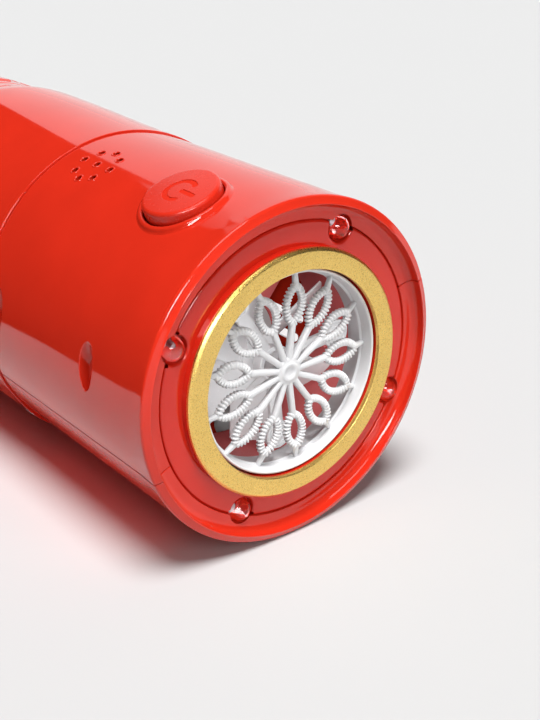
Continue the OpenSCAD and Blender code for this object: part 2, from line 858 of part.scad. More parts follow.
// Seats of the two screws that hold the barrel on the lower shell's spigot, pointing outwards
module each_barrel_screw() {
    for (angle = barrel_screw_angles) polar(angle, barrel_front_r - 1.2)
        translate([0, 0, -front_len - spigot_len / 2]) rotate([0, 90, 0]) children();
}

module barrel_screws() {
    color(steel) lay() each_barrel_screw() translate([0, 0, seat_gap]) screw(screw_d - 2 * seat_gap, 4);
}

// Cage with four cell tubes and two discs
module battery_cage() {
    cage_back = cell_back - 1;
    color(black) lay() difference() {
        union() {
            bar(barrel_in - 0.2, cage_front, cage_front + cage_disc_t);
            for (i = [0:3]) polar(45 + 90 * i, cell_pitch * sqrt(2)) bar(cell_r + 1.2, cage_front, cage_back);
            bar(neck_r - 2.4, cage_back - 8, cage_back - 6);
        }
        for (i = [0:3]) polar(45 + 90 * i, cell_pitch * sqrt(2))
            bar(cell_r + 0.15, cage_front + cage_disc_t, cage_back + 1);
        contact_plates(seat_gap);
    }
}

// One cell; neighbours point opposite ways
module cell(index) {
    nub_h = 1.2;
    flip = index % 2;
    body_front = cell_front + (flip == 0 ? nub_h : 0);
    color(flip == 0 ? brass : steel) lay() polar(45 + 90 * index, cell_pitch * sqrt(2)) {
        bar(cell_r, body_front, body_front + cell_len - nub_h);
        bar(2.7, cell_front, cell_back);
    }
}

// Plates that join the cells in pairs at the front of the cage, or the slots for them with a gap round
module contact_plates(gap) {
    for (side = [-1, 1])
        translate([side * cell_pitch - 3 - gap, -cell_pitch - 3 - gap, -cell_front + seat_gap - gap])
            cube([6 + 2 * gap, 2 * (cell_pitch + 3 + gap), contact_t + 2 * gap]);
}

module front_contacts() {
    color(brass) lay() contact_plates(0);
}

// Lid of the cage, inside the barrel's neck
module cage_lid() {
    color(black) lay() bar(neck_r - 2.5, lid_front, lid_front + lid_t);
}

// Sprung strips on the lid, one for each cell
module rear_contacts() {
    color(brass) lay() for (i = [0:3]) polar(45 + 90 * i, cell_pitch * sqrt(2)) {
        translate([-3, -2, -lid_front]) cube([6, 4, contact_t]);
        translate([-3, -2, -lid_front]) cube([contact_t, 4, spring_h - contact_t]);
        translate([-3, -2, -lid_front + spring_h - 2 * contact_t]) cube([6, 4, contact_t]);
    }
}

// Leads from the board to the cage
module lead(side) {
    lead_front = board_front + board_len - 7;
    upward(side * lead_x, 0) translate([0, lead_front, board_v + lead_d / 2 + seat_gap]) rotate([-90, 0, 0])
        cylinder(d = lead_d, h = cage_front - lead_front - seat_gap);
}

module positive_lead() {
    color(red) lay() lead(1);
}

module negative_lead() {
    color(black) lay() lead(-1);
}

// Sealing ring in the barrel's neck
module cap_seal() {
    color(black) lay() rotate_extrude() translate([seal_in + seal_d / 2, -seal_front - seal_d / 2])
        circle(d = seal_d);
}

// Twist-off cap with bayonet slots and raised grip pads
module end_cap() {
    end_round = 7;
    color(red) lay() difference() {
        union() {
            spin(concat(
                [[0, cap_back], [cap_r - 0.8 - end_round, cap_back]],
                round_points(cap_r - 0.8 - end_round, cap_back - end_round, end_round, 90, 0),
                [[cap_r, cap_front + 14], [cap_r, cap_front + 0.6], [cap_r - 0.6, cap_front], [0, cap_front]]
            ));
            for (row = [0:1], i = [0:pad_count - 1])
                ring_arc(cap_r + pad_rise, cap_r - 2, cap_front + 5 + row * (pad_len + 3),
                    cap_front + 5 + pad_len + row * (pad_len + 3), i * 360 / pad_count, 240 / pad_count);
        }
        spin([
            [0, cap_front - 1], [cap_bore, cap_front - 1], [cap_bore, cap_front + neck_len + 1],
            [cap_r - 0.4 - wall, cap_front + neck_len + 4], [cap_r - 1 - wall, cap_back - end_round],
            [cap_r - 1 - end_round, cap_back - wall], [0, cap_back - wall]
        ]);
        for (i = [0:2]) {
            ring_arc(lug_r + 0.3, cap_bore - 1, lug_front - 0.3, lug_front + 2.3,
                120 * i - lug_arc / 2 - cap_turn - 2, lug_arc + cap_turn + 4);
            ring_arc(lug_r + 0.3, cap_bore - 1, cap_front - 1, lug_front + 1,
                120 * i - lug_arc / 2 - cap_turn - 2, lug_arc + 4);
        }
    }
}

upper_shell();
lower_shell();
face_plate();
gold_ring();
wand_wheel();
wheel_axle();
axle_bracket();
bracket_screws();
fan_shroud();
shroud_screws();
fan();
fan_shaft();
fan_motor();
wheel_motor();
motor_shaft();
wheel_pinion();
lamp(0);  // lamp_1
lamp(1);  // lamp_2
lamp(2);  // lamp_3
lamp(3);  // lamp_4
power_button();
switch_plunger();
switch_body();
main_board();
board_screws();
speaker_frame();
speaker_cone();
housing_screws();
barrel();
barrel_screws();
battery_cage();
cell(0);  // cell_1
cell(1);  // cell_2
cell(2);  // cell_3
cell(3);  // cell_4
front_contacts();
cage_lid();
rear_contacts();
positive_lead();
negative_lead();
cap_seal();
end_cap();
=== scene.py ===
"""Looks of the bubble blower: its visible pieces, their finishes and a small studio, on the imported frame."""

import json
import math
from types import SimpleNamespace

import bmesh
import bpy
import numpy as np
from bpy.props import FloatProperty, FloatVectorProperty, IntProperty, PointerProperty
from mathutils import Matrix, Vector
from mathutils.geometry import delaunay_2d_cdt


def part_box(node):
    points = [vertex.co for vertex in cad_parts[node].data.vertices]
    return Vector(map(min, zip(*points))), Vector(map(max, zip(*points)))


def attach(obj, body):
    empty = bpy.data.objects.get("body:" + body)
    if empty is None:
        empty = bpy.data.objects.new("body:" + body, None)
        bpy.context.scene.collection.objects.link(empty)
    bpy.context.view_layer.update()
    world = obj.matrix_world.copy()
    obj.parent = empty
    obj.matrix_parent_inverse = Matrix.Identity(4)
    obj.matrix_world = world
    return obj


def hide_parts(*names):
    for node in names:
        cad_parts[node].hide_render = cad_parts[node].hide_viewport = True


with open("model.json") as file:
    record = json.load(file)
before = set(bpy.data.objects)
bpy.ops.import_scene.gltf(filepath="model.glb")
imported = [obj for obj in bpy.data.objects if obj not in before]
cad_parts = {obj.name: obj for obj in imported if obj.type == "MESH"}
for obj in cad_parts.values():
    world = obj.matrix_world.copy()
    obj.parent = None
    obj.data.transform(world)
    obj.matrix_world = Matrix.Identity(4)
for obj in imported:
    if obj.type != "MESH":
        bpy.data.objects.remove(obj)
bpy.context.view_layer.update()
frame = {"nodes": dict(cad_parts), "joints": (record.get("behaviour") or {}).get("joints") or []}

bl_info = {
    "name": "Bubble blower",
    "version": (1, 0, 0),
    "blender": (4, 5, 0),
    "location": "3D View > Sidebar > Blower",
    "description": "Builds the visible pieces of a bubble blower on its packed frame",
    "category": "Add Mesh",
}

# The pieces are drawn upright, in millimetres: across, up to the button, and depth behind the front rim.
# The frame's joints say how that drawing lies on the floor.
JOINTS = {joint["name"]: joint for joint in frame["joints"]}
PRESS_AXIS = JOINTS["button_press"]["axis"]
ROLL = math.atan2(PRESS_AXIS[0], -PRESS_AXIS[2])
AXIS_Z = JOINTS["wheel_spin"]["pos_m"][2] * 1000
FRONT_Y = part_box("upper_shell")[0].y * 1000

# Sizes and places on the solids that the pieces follow, with angles in radians
BODY_R = 37
INNER_R = 34.8
FRONT_LEN = 65
SPIGOT_R = 35.4
SPIGOT_BACK = FRONT_LEN + 13
RIM_R = BODY_R + 0.25
RIM_FRONT = 0.9
RIM_LEAN = math.radians(20)
RIM_IN = 35.4
LIP_R = 32
LIP_BEND_R = 33.5
PLATE_R = 31.75
COLLAR_R = 26.85
RING_R = 26.85
BORE_R = 22.5
PLATE_DEPTH = 3.3
PLATE_BACK = 5.6
RING_DEPTH = 0.75
RING_BACK = 1.85
LAMP_R = 30.8
LAMP_HOLE_R = 2.95
LAMP_SEAT = 5.2
LAMP_ANGLES = [math.radians(angle) for angle in (45, 135, 225, 315)]
BUTTON_R = 8.2
BUTTON_DEPTH = 20.9
BUTTON_TOP = BODY_R + 2.3
BUTTON_DOME = 0.2
BUTTON_FOOT = 31.33
POCKET_X = 32.2
POCKET_FLOOR = 7
POCKET_DEPTHS = (22, 59.5)
POCKET_R = 2.35
SPEAKER_DEPTH = 53.3
SOUND_RING_R = 5.2
SOUND_HOLE_R = 0.75
SLOT_DEPTH = 46
SLOT_ANGLES = [math.radians(angle) for angle in range(36, 77, 8)]
WHEEL_R = 22.1
WHEEL_FRONT = 2.2
GEAR_FRONT = 6.35
GEAR_BACK = 9.15
GEAR_TEETH = 70
GEAR_MODULE = 0.7
BARREL_FRONT = FRONT_LEN + 0.08
BARREL_BACK = 133
BARREL_FRONT_R = 37.4
BARREL_SWELL_R = 38.4
BARREL_SCREW_DEPTH = 71.5
BARREL_SCREW_TURNS = (math.radians(300), math.radians(210))
CAP_R = 36.9
CAP_FRONT = BARREL_BACK + 0.35
CAP_BACK = CAP_FRONT + 39
CAP_ROUND = 7
CAP_TAPER = 0.8
PAD_COUNT = 14

# Edges sharper than this show as creases
CREASE = math.radians(35)


class BlowerSizes(bpy.types.PropertyGroup):
    """Sizes of the visible details."""

    rim_round: FloatProperty(name="Rim rounding", description="Radius of the housing's front edge",
                             default=0.0007, min=0.0003, max=0.0009, unit="LENGTH")
    seam_width: FloatProperty(name="Seam width", description="Gap between the two half-shells",
                              default=0.0001, min=0.00002, max=0.0003, unit="LENGTH")
    sink_depth: FloatProperty(name="Sink marks", description="Depth of the shallow hollows over bosses",
                              default=0.00007, min=0, max=0.0002, unit="LENGTH")
    bead_height: FloatProperty(name="Hole bead", description="Height of the raised edge of a speaker hole",
                               default=0.00013, min=0.00002, max=0.0004, unit="LENGTH")
    collar_rise: FloatProperty(name="Collar rise", description="Height of the collar round the button",
                               default=0.00075, min=0.0004, max=0.0009, unit="LENGTH")
    button_round: FloatProperty(name="Button rounding", description="Radius of the button's upper edge",
                                default=0.0008, min=0.0003, max=0.0015, unit="LENGTH")
    symbol_radius: FloatProperty(name="Symbol radius", description="Radius of the power symbol's ring",
                                 default=0.00315, min=0.002, max=0.004, unit="LENGTH")
    symbol_stroke: FloatProperty(name="Symbol stroke", description="Width of the power symbol's lines",
                                 default=0.00115, min=0.0006, max=0.0014, unit="LENGTH")
    symbol_depth: FloatProperty(name="Symbol depth", description="How deep the power symbol is sunk",
                                default=0.00015, min=0.0001, max=0.0008, unit="LENGTH")
    ring_bevel: FloatProperty(name="Gold ring bevel", description="Width of the gold ring's outer bevel",
                              default=0.0006, min=0.0002, max=0.0009, unit="LENGTH")
    rib_count: IntProperty(name="Ribs on a loop", description="Number of ribs round a wand loop",
                           default=24, min=12, max=48)
    rib_rise: FloatProperty(name="Rib rise", description="Height of the ribs on a wand loop",
                            default=0.0005, min=0.0002, max=0.0006, unit="LENGTH")
    loop_turn: FloatProperty(name="Wheel turn", description="Turn of the first loop from the button's side",
                             default=math.radians(1), subtype="ANGLE")
    pad_rise: FloatProperty(name="Pad rise", description="Height of the grip pads on the end cap",
                            default=0.00035, min=0.0001, max=0.0006, unit="LENGTH")


class BlowerColours(bpy.types.PropertyGroup):
    """Base colours of the finishes."""

    shell: FloatVectorProperty(name="Shell", description="Glossy red of the housing, barrel and cap",
                               default=(0.60, 0.024, 0.0095), subtype="COLOR", min=0, max=1)
    face: FloatVectorProperty(name="Face", description="Red of the face plate",
                              default=(0.60, 0.0195, 0.008), subtype="COLOR", min=0, max=1)
    gold: FloatVectorProperty(name="Gold", description="Gold paint of the ring",
                              default=(0.95, 0.66, 0.20), subtype="COLOR", min=0, max=1)
    white: FloatVectorProperty(name="White", description="White plastic of the wheel, bracket and fan",
                               default=(0.71, 0.71, 0.72), subtype="COLOR", min=0, max=1)
    floor: FloatVectorProperty(name="Floor", description="Pale paper that the blower lies on",
                               default=(0.54, 0.54, 0.54), subtype="COLOR", min=0, max=1)


def sizes(context):
    """The panel's sizes, with lengths in millimetres."""
    group = context.scene.blower_sizes
    rows = group.bl_rna.properties
    return SimpleNamespace(**{
        key: getattr(group, key) * (1000 if rows[key].unit == "LENGTH" else 1)
        for key in BlowerSizes.__annotations__
    })


# Geometry helpers

def turned(directions):
    """Directions of the upright drawing, as directions in the frame."""
    x, y, depth = np.asarray(directions, float).T
    c, s = math.cos(ROLL), math.sin(ROLL)
    return np.stack([x * c - y * s, depth, x * s + y * c], 1)


def laid(points):
    """Points of the upright drawing in millimetres, as places in the frame in metres."""
    return (turned(points) + [0, FRONT_Y, AXIS_Z]) / 1000


def inside(points, loop):
    """Which flat points lie inside a closed loop, by counting crossings."""
    x, y = points[:, :1], points[:, 1:]
    ax, ay = loop.T
    bx, by = np.roll(loop, -1, axis=0).T
    rise = np.where(by == ay, 1e-12, by - ay)
    crosses = ((ay > y) != (by > y)) & (x < (bx - ax) * (y - ay) / rise + ax)
    return crosses.sum(axis=1) % 2 == 1


def clear_of(points, loop, gap):
    """Which flat points lie outside a loop and at least a gap away from its points."""
    away = np.linalg.norm(points[:, None] - loop[None], axis=2).min(axis=1)
    return (away > gap) & ~inside(points, loop)


def fill(outline, holes=(), spots=()):
    """Points and triangles of a flat region with holes; spots are extra points inside it."""
    loops = [np.asarray(loop, float) for loop in (outline, *holes)]
    given = np.concatenate([*loops, np.asarray(spots, float).reshape(-1, 2)])
    edges = []
    start = 0
    for loop in loops:
        edges += [(start + i, start + (i + 1) % len(loop)) for i in range(len(loop))]
        start += len(loop)
    found = delaunay_2d_cdt([Vector(p) for p in given], edges, [], 1, 1e-7)
    points = np.array([given[source[0]] for source in found[3]])
    faces = np.array(found[2])
    kept = np.ones(len(faces), bool)
    for hole in loops[1:]:
        kept &= ~inside(points[faces].mean(axis=1), hole)
    return points, faces[kept]


def arc(middle, radius, start, end, count):
    """Points of a flat arc between two angles in degrees."""
    angles = np.radians(np.linspace(start, end, count))
    return np.stack([middle[0] + radius * np.cos(angles), middle[1] + radius * np.sin(angles)], 1)


def bend(first, corner, last, count):
    """Points of a smooth flat curve from first to last, drawn towards a corner."""
    t = np.linspace(0, 1, count)[:, None]
    return (1 - t) ** 2 * np.array(first) + 2 * t * (1 - t) * np.array(corner) + t ** 2 * np.array(last)


def soft_edge(soft, count=5):
    """Growth and drop of a hole's rounded edge, from its mouth down to its wall."""
    return bend((soft, 0), (0, 0), (0, soft), count)


def ease(t):
    """Smooth rise from 0 to 1 while t does so, held at both ends."""
    return (1 - np.cos(math.pi * np.clip(t, 0, 1))) / 2


def polar(r, angles, depth):
    """Points round the axis at radii, angles and depths."""
    return np.stack(np.broadcast_arrays(r * np.cos(angles), r * np.sin(angles), depth), 1)


def ring(r, depth, count):
    """Circle of points round the axis at one depth."""
    return polar(r, np.arange(count) * 2 * math.pi / count, depth)


def disc(r, count=128):
    """Flat circle of points."""
    return ring(r, 0, count)[:, :2]


def at_depth(flat, depth):
    """Flat points at one depth, or at a depth for each."""
    return np.column_stack([flat, np.broadcast_to(depth, len(flat))])


def turned_by(angle):
    """Place function that turns points about the axis."""
    c, s = math.cos(angle), math.sin(angle)
    return lambda p: np.array([p[0] * c - p[1] * s, p[0] * s + p[1] * c, p[2]])


def stroke(path, half):
    """Closed outline round a flat path, with round ends."""
    path = np.asarray(path, float)
    along = np.gradient(path, axis=0)
    along /= np.linalg.norm(along, axis=1)[:, None]
    left = np.stack([-along[:, 1], along[:, 0]], 1)
    facing = [math.degrees(math.atan2(along[i, 1], along[i, 0])) for i in (0, -1)]
    far = arc(path[-1], half, facing[1] - 90, facing[1] + 90, 9)[1:-1]
    near = arc(path[0], half, facing[0] + 90, facing[0] + 270, 9)[1:-1]
    return np.concatenate([path - half * left, far, (path + half * left)[::-1], near])


class Skin:
    """Points and faces of one piece, in millimetres of the upright drawing."""

    def __init__(self):
        self.points = []
        self.faces = []
        self.finishes = []
        self.normals = []

    def add(self, points, faces, finish=0, normals=None):
        """Adds faces; normals, one for each point, keep a curved skin's reflections true."""
        base = len(self.points)
        self.points.extend(np.asarray(points, float))
        for face in faces:
            self.faces.append([base + corner for corner in face])
            self.finishes.append(finish)
            self.normals.append(None if normals is None else [normals[corner] for corner in face])

    def strip(self, rows, closed=True, finish=0):
        """Bands of quads between rows of equally many points."""
        count = len(rows[0])
        faces = []
        for base in range(0, count * (len(rows) - 1), count):
            for i in range(count if closed else count - 1):
                after = (i + 1) % count
                faces.append((base + i, base + after, base + count + after, base + count + i))
        self.add(np.concatenate(rows), faces, finish)

    def spin(self, profile, count=192, finish=0):
        """Surface of revolution of (radius, depth) points; a zero radius closes it."""
        self.strip([ring(r, depth, count) for r, depth in profile], True, finish)

    def cap(self, row, finish=0):
        """One flat face over a closed row."""
        self.add(row, [range(len(row))], finish)

    def bar(self, rows):
        """Bands between closed rows, with a flat face at both ends."""
        self.strip(rows)
        self.cap(rows[0])
        self.cap(rows[-1])

    def moved(self, start, place):
        """Passes the points added since start through a place function."""
        for i in range(start, len(self.points)):
            self.points[i] = place(self.points[i])

    def welded(self):
        """Points, faces, finishes and normals after joining the points that coincide."""
        points = np.array(self.points)
        # The shift keeps round values off the edges of the cells
        cell, shift = 1e-4, 0.37
        cells = np.floor(points / cell + shift).astype(np.int64)
        _, first, index = np.unique(cells, axis=0, return_index=True, return_inverse=True)
        index = index.reshape(-1)
        kept = []
        for face, finish, normals in zip(self.faces, self.finishes, self.normals):
            corners = list(dict.fromkeys(index[corner] for corner in face))
            if len(corners) > 2:
                exact = None if normals is None else dict(zip((index[corner] for corner in face), normals))
                kept.append((corners, finish, exact))
        return points[first], *zip(*kept)


def wrapped(skin, radius, angles, depths, holes=(), step=3):
    """Round skin over rows of angles and depths, with holes given as (angle, depth) loops."""
    hole_gap = 0.8
    small_turn, small_step = 1e-3, 0.03
    scale = float(radius(np.mean(angles), np.mean(depths)))
    outline = np.array(
        [(a, depths[0]) for a in angles] + [(angles[-1], d) for d in depths[1:]]
        + [(a, depths[-1]) for a in angles[-2::-1]] + [(angles[0], d) for d in depths[-2:0:-1]]
    )
    flat = np.array([scale, 1])
    loops = [hole * flat for hole in holes]
    spots = np.array([(a * scale, d) for a in angles[step:-step:step] for d in depths[1:-1]])
    for loop in loops:
        spots = spots[clear_of(spots, loop, hole_gap)]
    points, faces = fill(outline * flat, loops, spots)
    a, d = points[:, 0] / scale, points[:, 1]

    def place(angle, depth):
        return polar(radius(angle, depth), angle, depth)

    round_way = place(a + small_turn, d) - place(a - small_turn, d)
    along = place(a, d + small_step) - place(a, d - small_step)
    normals = np.cross(round_way, along)
    normals /= np.linalg.norm(normals, axis=1)[:, None]
    normals *= np.sign((normals * polar(1, a, 0)).sum(axis=1))[:, None]
    skin.add(place(a, d), faces, 0, normals)


def piece(context, name, skin, body, node, *slots):
    """Makes one object that rides on a body and stands for a node; its first slot is the record's."""
    points, faces, kinds, exact = skin.welded()
    mesh = bpy.data.meshes.new(name)
    mesh.from_pydata(laid(points).tolist(), [], faces)
    for slot in slots:
        mesh.materials.append(paint(context, slot))
    mesh.polygons.foreach_set("material_index", kinds)
    form = bmesh.new()
    form.from_mesh(mesh)
    bmesh.ops.recalc_face_normals(form, faces=form.faces)
    form.to_mesh(mesh)
    form.free()
    mesh.shade_smooth()
    mesh.set_sharp_from_angle(angle=CREASE)
    if any(exact):
        use_exact_normals(mesh, exact)
    made = bpy.data.objects.new(name, mesh)
    context.scene.collection.objects.link(made)
    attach(made, body)
    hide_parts(node)


def use_exact_normals(mesh, exact):
    """Gives curved faces their true normals and leaves the other corners as they are."""
    corners = np.empty(len(mesh.loops) * 3)
    mesh.corner_normals.foreach_get("vector", corners)
    corners = corners.reshape(-1, 3)
    for polygon, normals in zip(mesh.polygons, exact):
        if normals:
            facing = turned(list(normals.values())).sum(axis=0)
            sign = math.copysign(1, facing @ np.array(polygon.normal))
            for loop in polygon.loop_indices:
                corners[loop] = sign * turned([normals[mesh.loops[loop].vertex_index]])[0]
    mesh.normals_split_custom_set(corners.tolist())


# Finishes

class Finish:
    """One procedural material, with short ways to add its nodes."""

    def __init__(self, name, **settings):
        self.material = bpy.data.materials.new(name)
        self.material.use_nodes = True
        self.tree = self.material.node_tree
        self.shader = self.tree.nodes["Principled BSDF"]
        self.place = self.node("ShaderNodeTexCoord").outputs["Object"]
        for socket, value in settings.items():
            self.shader.inputs[socket.replace("_", " ")].default_value = value

    def node(self, kind, **inputs):
        """Adds a node; each input is a value or the output that feeds it."""
        made = self.tree.nodes.new(kind)
        for name, value in inputs.items():
            self.feed(made.inputs[name], value)
        return made

    def feed(self, socket, value):
        """Links an output to a socket, or sets the socket's value."""
        if isinstance(value, bpy.types.NodeSocket):
            self.tree.links.new(value, socket)
        else:
            socket.default_value = value

    def noise(self, size, detail):
        """Cloudy pattern with patches of a size in millimetres."""
        made = self.node("ShaderNodeTexNoise", Vector=self.place, Scale=1000 / size, Detail=detail)
        return made.outputs["Fac"]

    def between(self, factor, low, high, start=0.3, end=0.7):
        """Maps a pattern from its start and end to two values."""
        ranged = self.node("ShaderNodeMapRange")
        for socket, value in zip(ranged.inputs, (factor, start, end, low, high)):
            self.feed(socket, value)
        return ranged.outputs["Result"]

    def mix(self, factor, first, second):
        """Blends two colours by a pattern."""
        mixed = self.tree.nodes.new("ShaderNodeMix")
        mixed.data_type = "RGBA"
        for socket, value in ((0, factor), (6, first), (7, second)):
            self.feed(mixed.inputs[socket], value)
        return mixed.outputs[2]

    def bump(self, height, depth, normal=None):
        """Bump of a depth in millimetres from a pattern, over another bump."""
        made = self.node("ShaderNodeBump", Height=height, Distance=depth / 1000)
        if normal:
            self.feed(made.inputs["Normal"], normal)
        return made.outputs["Normal"]

    def set(self, **links):
        """Feeds the shader's sockets and gives the finished material."""
        for socket, output in links.items():
            self.feed(self.shader.inputs[socket.replace("_", " ")], output)
        return self.material


def shade(colour, factor):
    """A colour made lighter or darker, with full alpha."""
    return (*(min(1.0, channel * factor) for channel in colour), 1.0)


def moulded_plastic(name, colour, rough, grain, peel, shine=0.5):
    """Moulded plastic: slight flow marks in the colour, uneven gloss and a fine skin texture."""
    finish = Finish(name, IOR=1.5, Specular_IOR_Level=shine)
    flow = finish.noise(14, 3)
    skin = finish.noise(grain, 2)
    dust = finish.between(finish.noise(0.35, 1), 0, 1, 0.70, 0.78)
    body = finish.mix(finish.between(flow, 0, 1), shade(colour, 0.95), shade(colour, 1.04))
    return finish.set(
        Base_Color=finish.mix(dust, body, shade(colour, 1.12)),
        Roughness=finish.between(skin, rough * 0.85, rough * 1.2),
        Normal=finish.bump(skin, peel),
    )


def gold_paint(name, colour):
    """Sprayed gold: fine flakes that catch the light apart, and dark specks between them."""
    finish = Finish(name, Metallic=1.0)
    flakes = finish.node("ShaderNodeTexVoronoi", Vector=finish.place, Scale=1000 / 0.16).outputs["Color"]
    speck = finish.between(finish.noise(0.22, 3), 1, 0, 0.30, 0.46)
    cloud = finish.mix(finish.noise(5, 2), shade(colour, 0.94), shade(colour, 1.05))
    dark = shade((colour[0] * 0.62, colour[1] * 0.52, colour[2] * 0.35), 1)
    split = finish.node("ShaderNodeSeparateColor", Color=flakes).outputs[0]
    return finish.set(
        Base_Color=finish.mix(speck, cloud, dark),
        Roughness=finish.between(split, 0.26, 0.46, 0, 1),
        Normal=finish.bump(split, 0.012, finish.bump(finish.noise(0.5, 3), 0.01)),
    )


def clear_plastic(name):
    """Clear cast lens with faint streaks."""
    finish = Finish(name, IOR=1.5, Transmission_Weight=1.0)
    streak = finish.noise(1.2, 2)
    return finish.set(
        Base_Color=finish.mix(streak, (1.0, 0.72, 0.74, 1), (1.0, 0.82, 0.83, 1)),
        Roughness=finish.between(streak, 0.02, 0.06),
    )


def bare_metal(name, colour, rough):
    """Plain metal with drawn streaks along the body."""
    finish = Finish(name, Metallic=1.0)
    stretched = finish.node("ShaderNodeMapping", Vector=finish.place, Scale=(6, 0.4, 6)).outputs["Vector"]
    streak = finish.node("ShaderNodeTexNoise", Vector=stretched, Scale=900, Detail=3).outputs["Fac"]
    return finish.set(
        Base_Color=finish.mix(streak, shade(colour, 0.86), shade(colour, 1.08)),
        Roughness=finish.between(streak, rough * 0.8, rough * 1.25),
        Normal=finish.bump(streak, 0.003),
    )


def paint(context, slot):
    """The finish of one of the record's slots, made on first use."""
    name = slot + "_finish"
    if name in bpy.data.materials:
        return bpy.data.materials[name]
    colours = context.scene.blower_colours
    if slot == "gold_trim":
        return gold_paint(name, colours.gold)
    if slot == "clear_lens":
        return clear_plastic(name)
    if slot in METALS:
        return bare_metal(name, *METALS[slot])
    open_colours = {"face_red": colours.face, "white_plastic": colours.white}
    colour, *surface = PLASTICS[slot]
    return moulded_plastic(name, colour or open_colours.get(slot, colours.shell), *surface)


# Colour and roughness of the metals
METALS = {
    "steel": ((0.60, 0.60, 0.61), 0.48),
    "brass": ((0.78, 0.58, 0.26), 0.28),
}

# Colour, roughness, grain size, grain height and, where it is dull, shine of plastics and coats;
# the panel sets the colours left open
PLASTICS = {
    "red_shell": (None, 0.07, 2.4, 0.0002),
    "red_button": (None, 0.24, 0.9, 0.0007, 0.38),
    "symbol_red": (None, 0.8, 0.9, 0.0007, 0.05),
    "face_red": (None, 0.05, 2.4, 0.0003),
    # The duct's red is paled to pink: painted bounce light from the white wheel and fan round it
    "duct_red_painted_bounce": ((0.62, 0.13, 0.13), 0.5, 0.4, 0.004),
    "white_plastic": (None, 0.34, 0.8, 0.002),
    "zinc": ((0.52, 0.51, 0.51), 0.4, 0.7, 0.004),
    "black_plastic": ((0.02, 0.02, 0.022), 0.4, 0.5, 0.003),
    "board": ((0.02, 0.13, 0.06), 0.35, 0.4, 0.003),
    "cell_jacket": ((0.03, 0.06, 0.16), 0.3, 0.8, 0.001),
    "lead_red": ((0.55, 0.02, 0.02), 0.42, 0.6, 0.002),
    "lead_black": ((0.015, 0.015, 0.016), 0.45, 0.6, 0.002),
    "seal_rubber": ((0.025, 0.025, 0.027), 0.65, 0.3, 0.005),
}


# Front housing

SEAM_EDGE = 0.3
END_ROUND = 0.3
LIP_BEND = RIM_IN - LIP_BEND_R
LIP_TOP_R = LIP_BEND_R + 0.6 * LIP_BEND
RIM_BEAD = 0.16


def half_angles(r):
    """Angles from one seam edge of a half-shell to the other, at a radius."""
    start = math.asin(SEAM_EDGE / r)
    return np.linspace(start, math.pi - start, 181)


def half_ring(r, depth):
    """Row of points round a half-shell."""
    return polar(r, half_angles(r), depth)


def lip_depth(r):
    """Depth of the lip at a radius: flat beside the face plate, then curving up to the rim."""
    over = np.clip((r - LIP_BEND_R) / LIP_BEND, 0, 1)
    return PLATE_DEPTH - LIP_BEND * (1 - np.sqrt(1 - over ** 2))


def rim_back(size):
    """Depth where the rim's rounding meets the outer wall."""
    width = RIM_R - size.rim_round * (1 - math.sin(RIM_LEAN)) - RIM_IN - 2 * RIM_BEAD
    return RIM_FRONT + width * math.tan(RIM_LEAN) + size.rim_round * math.cos(RIM_LEAN)


def rim_profile(size):
    """Radius and depth from the lip's bend, over the rim's raised inner edge, to the outer wall."""
    start = math.degrees(math.acos((LIP_TOP_R - LIP_BEND_R) / LIP_BEND))
    rise = arc((LIP_BEND_R, PLATE_DEPTH - LIP_BEND), LIP_BEND, start, 0, 9)
    edge = arc((RIM_IN + RIM_BEAD, RIM_FRONT), RIM_BEAD, 180, 325, 9)
    lean = math.degrees(RIM_LEAN) - 90
    outer = arc((RIM_R - size.rim_round, rim_back(size)), size.rim_round, lean, 0, 9)
    crest = np.linspace(edge[-1], outer[0], 4)[1:-1]
    return np.concatenate([rise, edge, crest, outer])


def end_profile():
    """Rounded rear edge of the housing's outer wall, down to the spigot."""
    corner = arc((BODY_R - END_ROUND, FRONT_LEN - END_ROUND), END_ROUND, 0, 90, 5)
    return np.concatenate([corner, [(SPIGOT_R, FRONT_LEN)]])


def hollow(angle, depth, middle, spread):
    """Bell shape round a place on the body."""
    away = ((angle - middle[0]) * BODY_R) ** 2 + (depth - middle[1]) ** 2
    return np.exp(-away / (2 * spread ** 2))


def moulded_radius(size, upper):
    """Radius of a half-shell: flared rim, faint flow waves and sink marks."""
    side = math.acos(POCKET_X / BODY_R)
    marks = [((a, d), 4.2, 1.0) for a in (side, math.pi - side) for d in POCKET_DEPTHS]
    if upper:
        marks += [((math.pi / 2, SPEAKER_DEPTH), 6.5, 0.9), ((math.pi / 2, BUTTON_DEPTH), 13, 1.2)]
    back = rim_back(size)
    end_fade, seam_fade, flare_len = 5, 6, 6

    def radius(angle, depth):
        edge = np.clip(np.minimum(depth - back, FRONT_LEN - END_ROUND - depth) / end_fade, 0, 1)
        hold = edge * np.clip((np.sin(angle) * BODY_R - SEAM_EDGE) / seam_fade, 0, 1)
        waves = 0.35 * np.sin(depth / 4.6 + 5 * angle) + 0.3 * np.sin(depth / 7.9 - 9 * angle + 1)
        sinks = sum(weight * hollow(angle, depth, middle, spread) for middle, spread, weight in marks)
        flare = (RIM_R - BODY_R) * (1 - np.clip((depth - back) / flare_len, 0, 1)) ** 2
        return BODY_R + flare + size.sink_depth * (0.5 * waves - sinks) * hold ** 2 * (3 - 2 * hold)

    return radius


def plan_loop(flat, middle, r):
    """Angles and depths of a loop drawn in plan over a place (across, depth) on the body."""
    return np.stack([np.arccos((middle[0] + flat[:, 0]) / r), middle[1] + flat[:, 1]], 1)


def plan_row(flat, middle, r):
    """Points of a loop drawn in plan, dropped on the cylinder of a radius."""
    x = middle[0] + flat[:, 0]
    return np.stack([x, np.sqrt(r ** 2 - x ** 2), middle[1] + flat[:, 1]], 1)


def on_skin(radius, loop):
    """Points of an (angle, depth) loop on a round skin."""
    return polar(radius(*loop.T), *loop.T)


